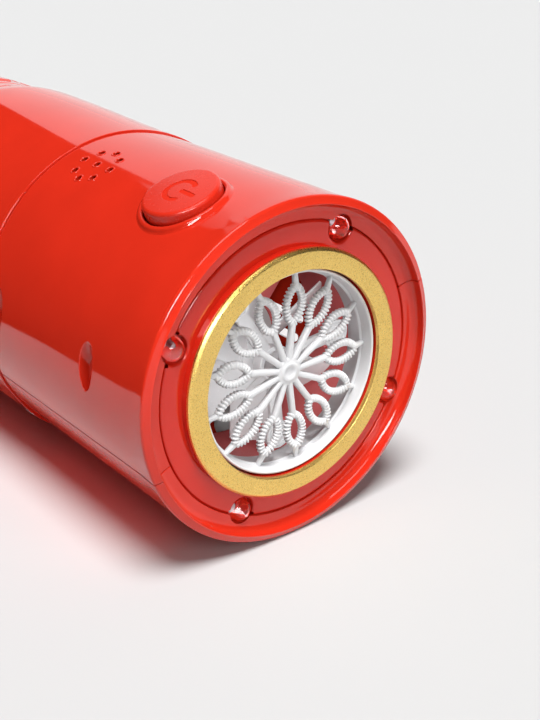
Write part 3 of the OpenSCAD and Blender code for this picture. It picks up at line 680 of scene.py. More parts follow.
def plan_hole(skin, radius, middle, foot_r, mouth, count):
    """Round hole drawn in plan, with its mouth in (radius, height) steps; gives its outer and inner loop."""
    foot = plan_loop(disc(foot_r, count), middle, BODY_R)
    bore = disc(mouth[-1][0], count)
    rows = [plan_row(disc(r, count), middle, BODY_R + height) for r, height in mouth]
    skin.strip([on_skin(radius, foot), *rows, plan_row(bore, middle, INNER_R)])
    return foot, plan_loop(bore, middle, INNER_R)


def button_collar(skin, size, radius):
    """Low round bead and well of the button."""
    bead, gap, spread = 0.65, 0.25, 0.35
    low = size.collar_rise - bead
    foot_turn = math.degrees(math.asin(-low / bead)) + 25
    mouth = arc((BUTTON_R + gap + bead, low), bead, foot_turn, 180, 13)
    return plan_hole(skin, radius, (0, BUTTON_DEPTH), BUTTON_R + gap + 2 * bead + spread, mouth, 128)


def sound_hole(skin, size, radius, middle):
    """Speaker hole with a raised bead round its mouth."""
    bead, sink = 0.42, 0.06
    t = np.linspace(0.15, 1, 8)
    height = size.bead_height * np.sin(math.pi * t) - sink * t
    mouth = np.stack([SOUND_HOLE_R + bead * (1 - t), height], 1)
    return plan_hole(skin, radius, middle, SOUND_HOLE_R + bead, mouth, 24)


def screw_pocket(skin, radius, middle):
    """Deep pocket for a housing screw, straight down to its floor."""
    turn = disc(1, 48)
    soft = 0.3
    foot = plan_loop(turn * (POCKET_R + soft), middle, BODY_R)
    rows = [on_skin(radius, foot)]
    for growth, drop in soft_edge(soft, 6)[1:]:
        rows.append(plan_row(turn * (POCKET_R + growth), middle, BODY_R - drop))
    floor = rows[-1].copy()
    floor[:, 1] = POCKET_FLOOR
    skin.strip(rows + [floor])
    skin.cap(floor)
    return foot


def intake_slot(skin, radius, angle):
    """Air slot with round ends and a soft edge."""
    half_len, half_width, soft = 5.9, 1.1, 0.25
    path = [(0, depth) for depth in np.linspace(-half_len, half_len, 9)]

    def loop(growth):
        flat = stroke(path, half_width + growth)
        return np.stack([angle + flat[:, 0] / BODY_R, SLOT_DEPTH + flat[:, 1]], 1)

    rows = [on_skin(radius, loop(soft))]
    for growth, drop in soft_edge(soft)[1:]:
        rows.append(polar(BODY_R - drop, *loop(growth).T))
    rows.append(polar(INNER_R, *loop(0).T))
    skin.strip(rows)
    return loop(soft), loop(0)


def lamp_middle(angle):
    """Middle of a lamp hole."""
    return LAMP_R * np.array([math.cos(angle), math.sin(angle)])


def lamp_half(r, edge_r):
    """Half the turn of a lamp hole's arc outside an edge circle."""
    return math.acos((edge_r ** 2 - LAMP_R ** 2 - r ** 2) / (2 * LAMP_R * r))


def lamp_width(r, edge_r):
    """Half the turn that a lamp hole takes up on an edge circle."""
    return math.asin(r * math.sin(lamp_half(r, edge_r)) / edge_r)


def outer_notch(angle, r, edge_r):
    """Arc of a lamp hole outside an edge circle."""
    half, facing = math.degrees(lamp_half(r, edge_r)), math.degrees(angle)
    return arc(lamp_middle(angle), r, facing + half, facing - half, 25)


def inner_notch(angle, r, edge_r):
    """Arc of a lamp hole inside an edge circle."""
    half, facing = math.degrees(lamp_half(r, edge_r)), math.degrees(angle)
    return arc(lamp_middle(angle), r, facing + half, facing + 360 - half, 49)


def lip_edge(skin, lamp_angles, edge, hole_r):
    """Rounded step from the lip down beside the face plate; gives its outline with the lamps' notches."""
    edge_r = LIP_R + edge
    step = [(edge_r - drop, PLATE_DEPTH + fall) for drop, fall in bend((0, 0), (edge, 0), (edge, edge), 5)]
    step.append((LIP_R, PLATE_BACK))
    start = math.asin(SEAM_EDGE / edge_r)
    stops = [(angle, lamp_width(hole_r, edge_r)) for angle in lamp_angles] + [(start, 0)]
    turn = math.pi - start
    outline = []
    for angle, half in stops:
        wall = arc((0, 0), edge_r, math.degrees(turn), math.degrees(angle + half), 41)
        skin.strip([at_depth(wall * r / edge_r, depth) for r, depth in step], False)
        outline += [wall[:-1], outer_notch(angle, hole_r, edge_r)[:-1]] if half else [wall]
        turn = angle - half
    return outline


def sloping_lip(skin):
    """Lip of a half-shell down to the face plate, with the notches of two lamps."""
    lamp_angles = LAMP_ANGLES[1::-1]
    soft, edge = 0.14, 0.22
    inner = lip_edge(skin, lamp_angles, edge, LAMP_HOLE_R + soft)
    top = half_ring(LIP_TOP_R, 0)[:, :2]
    radii = np.linspace(LIP_TOP_R, LIP_R + edge, 8)[1:-1]
    sides = np.array([(r * math.cos(math.asin(SEAM_EDGE / r)), SEAM_EDGE) for r in radii])
    outline = np.concatenate([top, sides * [-1, 1], *inner, sides[::-1]])
    spots = np.concatenate([half_ring(r, 0)[2:-2:2, :2] for r in radii])
    for angle in lamp_angles:
        spots = spots[np.linalg.norm(spots - lamp_middle(angle), axis=1) > LAMP_HOLE_R + 0.4]
    points, faces = fill(outline, (), spots)
    r = np.linalg.norm(points, axis=1)
    lean = np.clip((r - LIP_BEND_R) / LIP_BEND, 0, 1)
    normals = np.column_stack([-lean[:, None] * points / r[:, None], -np.sqrt(1 - lean ** 2)])
    skin.add(at_depth(points, lip_depth(r)), faces, 0, normals)
    for angle in lamp_angles:
        rows = []
        for growth, drop in soft_edge(soft):
            notch = outer_notch(angle, LAMP_HOLE_R + growth, LIP_R)
            rows.append(at_depth(notch, lip_depth(np.linalg.norm(notch, axis=1)) + drop))
        rows.append(at_depth(rows[-1][:, :2], PLATE_BACK + 0.5))
        skin.strip(rows, False)


def seam_edges(skin, size, profile):
    """Rounded edges of a half-shell along both sides of its parting line."""
    along = np.gradient(profile, axis=0)
    inward = np.stack([-along[:, 1], along[:, 0]], 1)
    inward /= np.linalg.norm(inward, axis=1)[:, None]
    gap = size.seam_width / 2
    steps = np.concatenate([bend((SEAM_EDGE, 0), (gap, 0), (gap, SEAM_EDGE * 0.8), 6), [(gap, 0.5)]])
    for side in (1, -1):
        rows = []
        for y, inset in steps:
            r, depth = (profile + inward * inset).T
            rows.append(np.stack([side * r * np.cos(np.arcsin(y / r)), np.full(len(r), y), depth], 1))
        skin.strip(rows, False)


def half_shell(size, upper):
    """One half of the housing, drawn on the button's side."""
    skin = Skin()
    radius = moulded_radius(size, upper)
    depths = np.linspace(rim_back(size), FRONT_LEN - END_ROUND, 27)
    pockets = []
    if upper:
        holes = [(0, SPEAKER_DEPTH), *arc((0, SPEAKER_DEPTH), SOUND_RING_R, 0, 315, 8)]
        openings = [button_collar(skin, size, radius)]
        openings += [sound_hole(skin, size, radius, middle) for middle in holes]
        pockets = [screw_pocket(skin, radius, (x, d)) for x in (-POCKET_X, POCKET_X) for d in POCKET_DEPTHS]
    else:
        openings = [intake_slot(skin, radius, angle) for angle in SLOT_ANGLES]
    outer, inner = zip(*openings)
    wrapped(skin, radius, half_angles(BODY_R), depths, [*pockets, *outer])
    inner_end = FRONT_LEN - 4
    inner_depths = np.linspace(PLATE_BACK, inner_end, 15)
    wrapped(skin, lambda a, d: np.full_like(a, INNER_R), half_angles(INNER_R), inner_depths, inner)
    rim, end = rim_profile(size), end_profile()
    skin.strip([half_ring(r, d) for r, d in rim], False)
    sloping_lip(skin)
    skin.strip([half_ring(LIP_R, PLATE_BACK), half_ring(INNER_R, PLATE_BACK)], False)
    spigot_in = SPIGOT_R - 2
    inside_end = [(SPIGOT_R, SPIGOT_BACK), (spigot_in, SPIGOT_BACK), (spigot_in, FRONT_LEN - 2),
                  (INNER_R, inner_end)]
    skin.strip([half_ring(r, d) for r, d in [*end, *inside_end]], False)
    slope = [(r, lip_depth(r)) for r in np.linspace(LIP_R, LIP_TOP_R, 9)[:-1]]
    wall = [(BODY_R, d) for d in depths[1:-1]]
    seam_edges(skin, size, np.array([*slope, *rim, *wall, *end]))
    if not upper:
        mirror = [1, -1, 1]
        skin.points = [point * mirror for point in skin.points]
        skin.normals = [normals and [normal * mirror for normal in normals] for normals in skin.normals]
    return skin


class BLOWER_OT_housing(bpy.types.Operator):
    """Build the two half-shells of the front housing"""

    bl_idname = "blower.housing"
    bl_label = "Housing"

    def execute(self, context):
        for name, node, upper in (("shell_top", "upper_shell", True), ("shell_bottom", "lower_shell", False)):
            piece(context, name, half_shell(sizes(context), upper), "housing", node, "red_shell")
        return {"FINISHED"}


# Power button

def level(flat, height):
    """Points of a loop drawn in plan over the button, at a height over the axis."""
    return np.stack([flat[:, 0], np.broadcast_to(height, len(flat)), BUTTON_DEPTH + flat[:, 1]], 1)


def dome(flat):
    """Height of the button's slightly domed top."""
    return BUTTON_TOP - BUTTON_DOME * (np.linalg.norm(flat, axis=1) / BUTTON_R) ** 2


def symbol_paths(size):
    """Middle lines of the power symbol's open ring and bar, which point to the front."""
    turn = math.radians(-91)
    gap = 56
    bar_start, bar_end = 0.85, size.symbol_radius + 1.1
    middle = math.degrees(turn)
    open_ring = arc((0, 0), size.symbol_radius, middle + gap, middle + 360 - gap, 61)
    bar = np.linspace(bar_start, bar_end, 9)[::-1, None] * [math.cos(turn), math.sin(turn)]
    return open_ring, bar


def sunk_symbol(skin, size):
    """Sunk power symbol with soft edges; gives the outlines that it cuts in the button's top."""
    half, soft = size.symbol_stroke / 2, 0.1
    sunk = []
    for path in symbol_paths(size):
        sunk.append(stroke(path, half + soft))
        steps = [(half + growth, drop) for growth, drop in soft_edge(soft)]
        steps.append((half, size.symbol_depth))
        loops = [(stroke(path, width), drop) for width, drop in steps]
        skin.strip([level(loop, dome(loop) - drop) for loop, drop in loops])
        floor, faces = fill(loops[-1][0])
        skin.add(level(floor, dome(floor) - size.symbol_depth), faces, 1)
    return sunk


def button_skin(size):
    """Round button: foot, straight side, rounded edge, domed top and sunk power symbol."""
    skin = Skin()
    soft = size.button_round
    inner = BUTTON_R - soft
    top_edge = dome(np.array([[inner, 0]]))[0]
    foot_r, foot_top = BUTTON_R + 1.3, BUTTON_FOOT + 1.2
    profile = [(foot_r, BUTTON_FOOT), (foot_r, foot_top), (BUTTON_R, foot_top),
               *arc((inner, top_edge - soft), soft, 0, 90, 9)]
    rows = [level(disc(r), height) for r, height in profile]
    skin.strip(rows)
    skin.cap(rows[0])
    sunk = sunk_symbol(skin, size)
    top = disc(inner)
    grid = np.arange(-8, 8.1, 0.8)
    spots = np.array([(x, y) for x in grid for y in grid])
    spots = spots[inside(spots, top * 0.96)]
    for loop in sunk:
        spots = spots[clear_of(spots, loop, 0.25)]
    points, faces = fill(top, sunk, spots)
    slope = 2 * BUTTON_DOME / BUTTON_R ** 2 * points
    normals = np.stack([slope[:, 0], np.ones(len(points)), slope[:, 1]], 1)
    skin.add(level(points, dome(points)), faces, 0, normals / np.linalg.norm(normals, axis=1)[:, None])
    return skin


class BLOWER_OT_button(bpy.types.Operator):
    """Build the power button with its sunk symbol"""

    bl_idname = "blower.button"
    bl_label = "Power button"

    def execute(self, context):
        skin = button_skin(sizes(context))
        piece(context, "button_cap", skin, "button", "power_button", "red_button", "symbol_red")
        return {"FINISHED"}


# Front face

def face_skin():
    """Plate inside the lip: flat face with lamp seats, collar under the gold ring, and bore."""
    skin = Skin()
    soft = 0.6
    edge_r, hole_r = PLATE_R - soft, LAMP_HOLE_R + soft
    width = lamp_width(hole_r, edge_r)
    rounding = soft_edge(soft)
    side_r = LIP_R - 0.04
    throat_r, throat_back = 2.65, 9.2
    outline = []
    before = 2 * math.pi + LAMP_ANGLES[0]
    for angle in LAMP_ANGLES[::-1]:
        edge = arc((0, 0), edge_r, math.degrees(before - width), math.degrees(angle + width), 41)
        outline += [edge[:-1], inner_notch(angle, hole_r, edge_r)[:-1]]
        steps = [(PLATE_R - growth, PLATE_DEPTH + drop) for growth, drop in rounding]
        steps += [(side_r, PLATE_DEPTH + soft + 0.1), (side_r, PLATE_BACK)]
        skin.strip([at_depth(edge * r / edge_r, depth) for r, depth in steps], False)
        rows = []
        for growth, drop in rounding:
            rows.append(at_depth(inner_notch(angle, LAMP_HOLE_R + growth, edge_r), PLATE_DEPTH + drop))
        rows.append(at_depth(rows[-1][:, :2], LAMP_SEAT))
        skin.strip(rows, False)
        before = angle
    points, faces = fill(np.concatenate(outline), [disc(COLLAR_R, 192)])
    skin.add(at_depth(points, PLATE_DEPTH), faces)
    collar_top, bore_back = RING_BACK + 0.05, PLATE_BACK + 0.4
    shoulder_r, flange_r, flange_back = 28.5, INNER_R - 0.5, 7.15
    skin.spin([(COLLAR_R, PLATE_DEPTH), (COLLAR_R - 0.15, RING_BACK + 0.2), (COLLAR_R - 0.3, collar_top),
               (BORE_R, collar_top), (BORE_R, bore_back), (shoulder_r, bore_back), (shoulder_r, flange_back),
               (flange_r, flange_back), (flange_r, PLATE_BACK + 0.05), (PLATE_R, PLATE_BACK)])
    seat = [(LAMP_HOLE_R + 0.02, LAMP_SEAT), (throat_r, LAMP_SEAT), (throat_r, throat_back)]
    for angle in LAMP_ANGLES[::-1]:
        skin.strip([at_depth(lamp_middle(angle) + disc(r, 48), depth) for r, depth in seat])
    return skin


class BLOWER_OT_face_plate(bpy.types.Operator):
    """Build the face plate with its lamp seats and collar"""

    bl_idname = "blower.face_plate"
    bl_label = "Face plate"

    def execute(self, context):
        piece(context, "face_disc", face_skin(), "housing", "face_plate", "face_red")
        return {"FINISHED"}


class BLOWER_OT_gold_ring(bpy.types.Operator):
    """Build the gold ring round the wheel"""

    bl_idname = "blower.gold_ring"
    bl_label = "Gold ring"

    def execute(self, context):
        bevel = sizes(context).ring_bevel
        soft = 0.25
        inner, outer = BORE_R - 0.05, RING_R
        edge, foot = outer - bevel, RING_DEPTH + bevel
        profile = np.concatenate([
            arc((inner + soft, RING_DEPTH + soft), soft, 180, 270, 7),
            bend((edge - soft, RING_DEPTH), (edge, RING_DEPTH), (edge + soft / 2, RING_DEPTH + soft / 2), 5),
            bend((outer - soft / 2, foot - soft / 2), (outer, foot), (outer, foot + soft / 2), 5),
            [(outer, RING_BACK), (inner, RING_BACK), (inner, RING_DEPTH + soft)],
        ])
        skin = Skin()
        skin.spin(profile, 256)
        piece(context, "ring_trim", skin, "housing", "gold_ring", "gold_trim")
        return {"FINISHED"}


# Lamps

def lamp_skin(angle):
    """Clear lamp with its dome, foot, inner cup and post, and legs."""
    skin = Skin()
    lens_r, foot_r = 2.5, 2.9
    tip = 1.9
    foot = tip + 8.6
    lens = arc((0, tip + lens_r), lens_r, -90, 0, 13)
    skin.spin([*lens, (lens_r, foot - 1.0), (foot_r - 0.1, foot - 0.9), (foot_r, foot - 0.75),
               (foot_r, foot - 0.1), (foot_r - 0.1, foot), (0, foot)], 64)
    cup = [(0, 5.9), (0.2, 5.85), (0.5, 5.6), (0.6, 5.58), (0.65, 5.7), (0.55, 6.6), (0.4, 6.9), (0.35, 10.0),
           (0, 10.0)]
    post = [(0, 5.5), (0.2, 5.55), (0.26, 5.7), (0.24, 10.0), (0, 10.0)]
    for profile, count, across in ((cup, 32, 0.45), (post, 24, -1.1)):
        start = len(skin.points)
        skin.spin(profile, count, 1)
        skin.moved(start, lambda p: p + [across, 0, 0])
    leg_half, leg_place, leg_end = 0.25, 1.27, foot + 4
    for side in (-leg_place, leg_place):
        leg = leg_half * np.array([(-1, -1), (1, -1), (1, 1), (-1, 1)]) + [side, 0]
        skin.strip([at_depth(leg, depth) for depth in (foot - 0.1, leg_end)], True, 1)
        skin.cap(at_depth(leg, leg_end), 1)
    place = turned_by(angle)
    skin.moved(0, lambda p: place(p + [LAMP_R, 0, 0]))
    return skin


class BLOWER_OT_lamps(bpy.types.Operator):
    """Build the four clear lamps"""

    bl_idname = "blower.lamps"
    bl_label = "Lamps"

    def execute(self, context):
        for i, angle in enumerate(LAMP_ANGLES, 1):
            piece(context, f"lens_{i}", lamp_skin(angle), "housing", f"lamp_{i}", "clear_lens", "steel")
        return {"FINISHED"}


# Wand wheel, bracket and fan

HUB_R = 3.1
LOOP_COUNT = 13
LOOP_DEPTH = 4.2
LOOP_MID_R = 14.3


def signed_power(value, power):
    """The size of a value raised to a power, with the value's sign."""
    return np.sign(value) * np.abs(value) ** power


def soft_section(half_w, half_h, count=16):
    """Rounded box section between an oval and a rectangle."""
    box = 0.75
    turn = np.arange(count) * 2 * math.pi / count
    return np.stack([half_w * signed_power(np.cos(turn), box), half_h * signed_power(np.sin(turn), box)], 1)


def wand_loop(skin, size):
    """Almond loop along +x, with ribs all round its section."""
    half_len, half_width, point = 3.75, 1.86, 1.5
    bar_w, bar_h = 0.52, 0.5
    rib_steps = 8
    turn = np.linspace(0, 2 * math.pi, 1201)
    path = np.stack([-half_len * np.cos(turn), half_width * signed_power(np.sin(turn), point)], 1)
    run = np.concatenate([[0], np.cumsum(np.linalg.norm(np.diff(path, axis=0), axis=1))])
    count = size.rib_count * rib_steps
    even = np.linspace(0, run[-1], count + 1)[:-1]
    spine = np.stack([np.interp(even, run, path[:, k]) for k in (0, 1)], 1)
    along = np.roll(spine, -1, axis=0) - np.roll(spine, 1, axis=0)
    along /= np.linalg.norm(along, axis=1)[:, None]
    inwards = np.stack([along[:, 1], -along[:, 0]], 1)
    section = soft_section(1, 1)
    outward = 0.65 - 0.35 * section[:, 0]
    rows = []
    for i in range(count):
        rib = size.rib_rise * outward * np.abs(np.sin(math.pi * (i / rib_steps + 0.15 * section[:, 1])))
        flat = spine[i] + ((bar_w + rib) * section[:, 0])[:, None] * inwards[i]
        depth = LOOP_DEPTH + (bar_h + rib) * section[:, 1]
        rows.append(np.stack([LOOP_MID_R + flat[:, 0], flat[:, 1], depth], 1))
    skin.strip(rows + rows[:1])


def tapered_bar(skin, stations):
    """Bar along +x through (place, half width, half height, depth) stations."""
    rows = []
    for x, half_w, half_h, depth in stations:
        section = soft_section(half_w, half_h)
        rows.append(np.stack([np.full(len(section), x), section[:, 0], depth + section[:, 1]], 1))
    skin.bar(rows)


def gear_outline(teeth, module):
    """Straight-sided teeth round a pitch circle, one pointing down to the pinion."""
    pitch_r = module * teeth / 2
    root_r, tip_r = pitch_r - 1.2 * module, pitch_r + 0.9 * module
    corners = ((-0.34, root_r), (-0.14, tip_r), (0.14, tip_r), (0.34, root_r))
    step = 2 * math.pi / teeth
    turns = np.array([(r, (i + share) * step - math.pi / 2) for i in range(teeth) for share, r in corners])
    return polar(*turns.T, 0)[:, :2]


def wand(skin, size):
    """Ribbed loop along +x with its spoke and the bar to the rim."""
    spoke = [(2.4, 0.74, 0.9, 0.2), (3.3, 0.72, 0.85, 0.1), (8.6, 0.68, 0.75, 0), (10.3, 0.72, 0.7, 0),
             (11.2, 0.6, 0.6, 0)]
    tip = [(17.4, 0.6, 0.6, 0), (18.3, 0.66, 0.7, 0.1), (19.6, 0.56, 0.65, 0.4), (21.3, 0.45, 0.55, 0.8)]
    wand_loop(skin, size)
    for stations in (spoke, tip):
        tapered_bar(skin, [(x, half_w, half_h, LOOP_DEPTH + back) for x, half_w, half_h, back in stations])


def wheel_skin(size):
    """Hub, tapered spokes, ribbed loops, stepped rim and ring gear of the wand wheel."""
    skin = Skin()
    hub = [(1.05, 8.3), (HUB_R - 0.2, 8.3), (HUB_R, 8.1), *arc((HUB_R - 0.4, 3.9), 0.4, 0, -90, 5)]
    button = [(2.3, 3.45), (2.1, 3.35), (2.0, 3.25), (1.85, 3.2), (1.5, 3.2), (1.3, 3.28), (1.05, 3.5),
              (0.5, 3.62), (0, 3.64)]
    skin.spin(hub + button, 64)
    for i in range(LOOP_COUNT):
        start = len(skin.points)
        wand(skin, size)
        skin.moved(start, turned_by(math.pi / 2 + size.loop_turn + 2 * math.pi / LOOP_COUNT * i))
    rim_in = WHEEL_R - 1.1
    step = [(0, GEAR_BACK), (0, 6.0), (-0.06, 5.75), (-0.28, 5.45), (-0.3, 5.25), (-0.2, 5.1), (0.12, 4.9),
            (0.2, 4.6)]
    edge = arc((WHEEL_R - 0.3, WHEEL_FRONT + 0.3), 0.3, 180, 360, 11)
    skin.spin([*((rim_in + out, depth) for out, depth in step), (WHEEL_R - 0.62, WHEEL_FRONT + 0.3),
               *edge, (WHEEL_R, GEAR_FRONT)], 256)
    teeth = gear_outline(GEAR_TEETH, GEAR_MODULE)
    skin.strip([at_depth(teeth, depth) for depth in (GEAR_FRONT, GEAR_BACK)])
    for depth, r in ((GEAR_FRONT, WHEEL_R), (GEAR_BACK, rim_in)):
        points, faces = fill(teeth, [disc(r, 256)])
        skin.add(at_depth(points, depth), faces)
    return skin


class BLOWER_OT_wand_wheel(bpy.types.Operator):
    """Build the wand wheel with its ribbed loops"""

    bl_idname = "blower.wand_wheel"
    bl_label = "Wand wheel"

    def execute(self, context):
        skin = wheel_skin(sizes(context))
        piece(context, "wheel_of_wands", skin, "wheel", "wand_wheel", "white_plastic")
        return {"FINISHED"}


def bracket_skin():
    """Three-eared bracket behind the wheel: ears with a raised edge and an inner ridge."""
    skin = Skin()
    front, back = 8.65, 10.45
    hub_in, hub_r, hub_back = 1.0, 3.6, back + 0.8
    skin.spin([(hub_in, hub_back), (hub_r - 0.2, hub_back), (hub_r, hub_back - 0.2), (hub_r, front + 0.2),
               (hub_r - 0.2, front), (hub_in, front), (hub_in, hub_back)], 64)
    ear_place, ear_turns = 17.45, (101.5, -14.5, -105)
    arm = (1.6, 0.85, 9.6)
    ridges = [(0, 0.75), (1.0, 0.75), (1.15, 0.55), (1.55, 0.55), (1.7, 0.75), (2.35, 0.75), (2.5, 0.28),
              (2.65, 0.2), (3.05, 0.2), (3.2, 0.35)]
    ear = [(r, front + sink) for r, sink in ridges] + [(3.2, back - 0.15), (3.05, back), (0, back)]
    for angle in ear_turns:
        start = len(skin.points)
        tapered_bar(skin, [(x, *arm) for x in (2.4, 5, 12, 15.2)])
        ear_start = len(skin.points)
        skin.spin(ear, 64)
        skin.moved(ear_start, lambda p: p + [ear_place, 0, 0])
        skin.moved(start, turned_by(math.radians(angle)))
    return skin


class BLOWER_OT_bracket(bpy.types.Operator):
    """Build the bracket that carries the wheel's axle"""

    bl_idname = "blower.bracket"
    bl_label = "Axle bracket"

    def execute(self, context):
        piece(context, "wheel_bracket", bracket_skin(), "housing", "axle_bracket", "white_plastic")
        return {"FINISHED"}


def fan_skin():
    """Fan with broad flat blades cut round at the tips, on a domed hub."""
    skin = Skin()
    front, back = 12.6, 19.3
    tip_r, blade_count = 20.7, 6
    skin.spin([(0, front), (1.0, front + 0.02), (4.2, front + 0.1), (4.8, front + 0.35), (5, front + 0.8),
               (5, back - 0.2), (4.8, back), (0, back)], 64)
    pitch, half_chord, half_thick = math.radians(38), 4.7, 0.52
    c, s = math.cos(pitch), math.sin(pitch)
    chord, thick = soft_section(half_chord, half_thick, 24).T
    across = chord * c - thick * s
    depth = np.clip((front + back) / 2 - (chord * s + thick * c), front + 0.02, back - 0.02)
    rows = []
    for r in np.linspace(4, tip_r, 12):
        rows.append(np.stack([np.sqrt(np.maximum(r ** 2 - across ** 2, 2)), across, depth], 1))
    for i in range(blade_count):
        start = len(skin.points)
        skin.bar(rows)
        skin.moved(start, turned_by(math.radians(360 / blade_count * i + 8)))
    return skin


class BLOWER_OT_fan(bpy.types.Operator):
    """Build the fan behind the wheel"""

    bl_idname = "blower.fan"
    bl_label = "Fan"

    def execute(self, context):
        piece(context, "fan_blades", fan_skin(), "fan_rotor", "fan", "white_plastic")
        return {"FINISHED"}


# Barrel and end cap

# Where the barrel lies on the floor
FLAT_ANGLE = 1.5 * math.pi - ROLL


def barrel_radius(angle, depth):
    """Radius of the barrel: swelling to the rear, easing to the cap, with two bosses and a flat to lie on."""
    swell, fall_len = BARREL_BACK - 17, 15.5
    boss_rise, boss_r, boss_fade, boss_tail = 0.42, 3.2, 8, 0.4
    rise = ease((depth - BARREL_FRONT) / (swell - BARREL_FRONT))
    fall = ease((depth - swell) / fall_len)
    r = BARREL_FRONT_R + (BARREL_SWELL_R - BARREL_FRONT_R) * rise - (BARREL_SWELL_R - CAP_R) * fall
    for turn in BARREL_SCREW_TURNS:
        behind = np.maximum(depth - BARREL_SCREW_DEPTH, 0) * boss_tail
        away = np.hypot((angle - turn) * BARREL_FRONT_R, behind)
        r = r + boss_rise * (1 - ease((away - boss_r) / boss_fade))
    facing = np.cos(angle - FLAT_ANGLE)
    flat = np.where(facing > 0.5, AXIS_Z / np.maximum(facing, 0.5), np.inf)
    return np.minimum(r, flat)


def barrel_skin():
    """Grip barrel with rounded front edge, two screw wells and the neck under the cap."""
    skin = Skin()
    soft = 0.2
    well_r, well_floor = 2.6, 36.5
    neck_r, neck_in, neck_back = 34.1, 31.9, CAP_FRONT + 9
    depths = np.linspace(BARREL_FRONT + soft, BARREL_BACK - 0.2, 46)
    wells = []
    turn = disc(well_r, 48)
    for middle in BARREL_SCREW_TURNS:
        loop = np.stack([middle + turn[:, 0] / BARREL_FRONT_R, BARREL_SCREW_DEPTH + turn[:, 1]], 1)
        wells.append(loop)
        floor = polar(well_floor, *loop.T)
        skin.strip([on_skin(barrel_radius, loop), floor])
        skin.cap(floor)
    angles = np.linspace(0, 2 * math.pi, 241)
    wrapped(skin, barrel_radius, angles, depths, wells, 2)
    angles = angles[:-1]

    def row(inset, depth, source):
        return polar(barrel_radius(angles, source) - inset, angles, depth)

    edge = [*arc((soft, BARREL_FRONT + soft), soft, 180, 270, 7), (2.2, BARREL_FRONT)]
    skin.strip([row(inset, depth, depths[0]) for inset, depth in edge])
    tail = [row(inset, BARREL_BACK - rest, depths[-1]) for inset, rest in ((0, 0.2), (0.06, 0.06), (0.2, 0))]
    neck = [(neck_r, BARREL_BACK), (neck_r, neck_back), (neck_in, neck_back)]
    skin.strip(tail + [ring(r, d, len(angles)) for r, d in neck])
    return skin


class BLOWER_OT_barrel(bpy.types.Operator):
    """Build the grip barrel"""

    bl_idname = "blower.barrel"
    bl_label = "Barrel"

    def execute(self, context):
        piece(context, "grip_barrel", barrel_skin(), "housing", "barrel", "red_shell")
        return {"FINISHED"}


def cap_radius(size):
    """Radius of the end cap, with two rows of raised pads."""
    pitch = 2 * math.pi / PAD_COUNT
    soft, half_len = 0.5, 3.5
    first_row, second_row = CAP_FRONT + 8.5, CAP_FRONT + 18.5
    taper_front, taper_back = CAP_FRONT + 14, CAP_BACK - CAP_ROUND

    def radius(angle, depth):
        across = np.abs((angle - pitch / 3 + pitch / 2) % pitch - pitch / 2) * CAP_R - CAP_R * pitch / 3
        along = np.minimum(np.abs(depth - first_row), np.abs(depth - second_row)) - half_len
        reach = np.clip(-np.maximum(across, along) / soft, 0, 1)
        taper = np.clip((depth - taper_front) / (taper_back - taper_front), 0, 1)
        return CAP_R - CAP_TAPER * taper + size.pad_rise * reach * reach * (3 - 2 * reach)

    return radius


def cap_skin(size):
    """Twist-off cap with rounded edges, pads and a domed end."""
    skin = Skin()
    soft = 0.6
    bore_r, bore_back = 34.45, CAP_FRONT + 10
    angles = np.linspace(0, 2 * math.pi, PAD_COUNT * 42 + 1)
    depths = np.linspace(CAP_FRONT + soft, CAP_BACK - CAP_ROUND, 66)
    wrapped(skin, cap_radius(size), angles, depths, (), 1)
    edge = [*arc((CAP_R - soft, CAP_FRONT + soft), soft, 0, -90, 7), (bore_r, CAP_FRONT), (bore_r, bore_back)]
    end_r = CAP_R - CAP_TAPER - CAP_ROUND
    end = [*arc((end_r, CAP_BACK - CAP_ROUND), CAP_ROUND, 0, 90, 15), (20, CAP_BACK), (0, CAP_BACK)]
    for profile in (edge, end):
        skin.spin(profile, len(angles) - 1)
    return skin


class BLOWER_OT_end_cap(bpy.types.Operator):
    """Build the twist-off end cap"""

    bl_idname = "blower.end_cap"
    bl_label = "End cap"

    def execute(self, context):
        piece(context, "cap_of_barrel", cap_skin(sizes(context)), "cap", "end_cap", "red_shell")
        return {"FINISHED"}


# Inner pieces keep their solids; RECORD_SLOTS names a record slot for each finish that the record lacks, but
# the script does not use it

RECORD_SLOTS = {"duct_red_painted_bounce": "face_red", "zinc": "steel"}
INNER_FINISHES = {
    "duct_red_painted_bounce": ["fan_shroud"],
    "zinc": ["fan_motor", "wheel_motor", "speaker_frame"],
    "steel": ["wheel_axle", "bracket_screws", "shroud_screws", "board_screws", "housing_screws",
              "barrel_screws", "fan_shaft", "motor_shaft", "front_contacts", "rear_contacts"],
    "brass": ["wheel_pinion"],
    "black_plastic": ["switch_body", "speaker_cone", "battery_cage", "cage_lid"],
    "white_plastic": ["switch_plunger"],
    "board": ["main_board"],
    "cell_jacket": ["cell_1", "cell_2", "cell_3", "cell_4"],
    "lead_red": ["positive_lead"],
    "lead_black": ["negative_lead"],
    "seal_rubber": ["cap_seal"],
}


class BLOWER_OT_inner_pieces(bpy.types.Operator):
    """Give the inner pieces, which keep their solids, their finishes"""

    bl_idname = "blower.inner_pieces"
    bl_label = "Inner pieces"

    def execute(self, context):
        for slot, nodes in INNER_FINISHES.items():
            for node in nodes:
                mesh = frame["nodes"][node].data
                mesh.materials.clear()
                mesh.materials.append(paint(context, slot))
                RECORD_SLOTS.get(slot, slot)
        return {"FINISHED"}


# Studio

CAMERA_PLACE = (-0.14075, -0.25246, 0.14274)
CAMERA_AZIMUTH = math.radians(51.39)
CAMERA_DOWN = math.radians(24.97)
FORWARD = np.array([math.cos(CAMERA_AZIMUTH), math.sin(CAMERA_AZIMUTH), 0])
LEFT = np.array([-FORWARD[1], FORWARD[0], 0])
UP = np.array([0, 0, 1])
BEHIND_WHEEL = np.array([0.006, -0.072, 0.034])


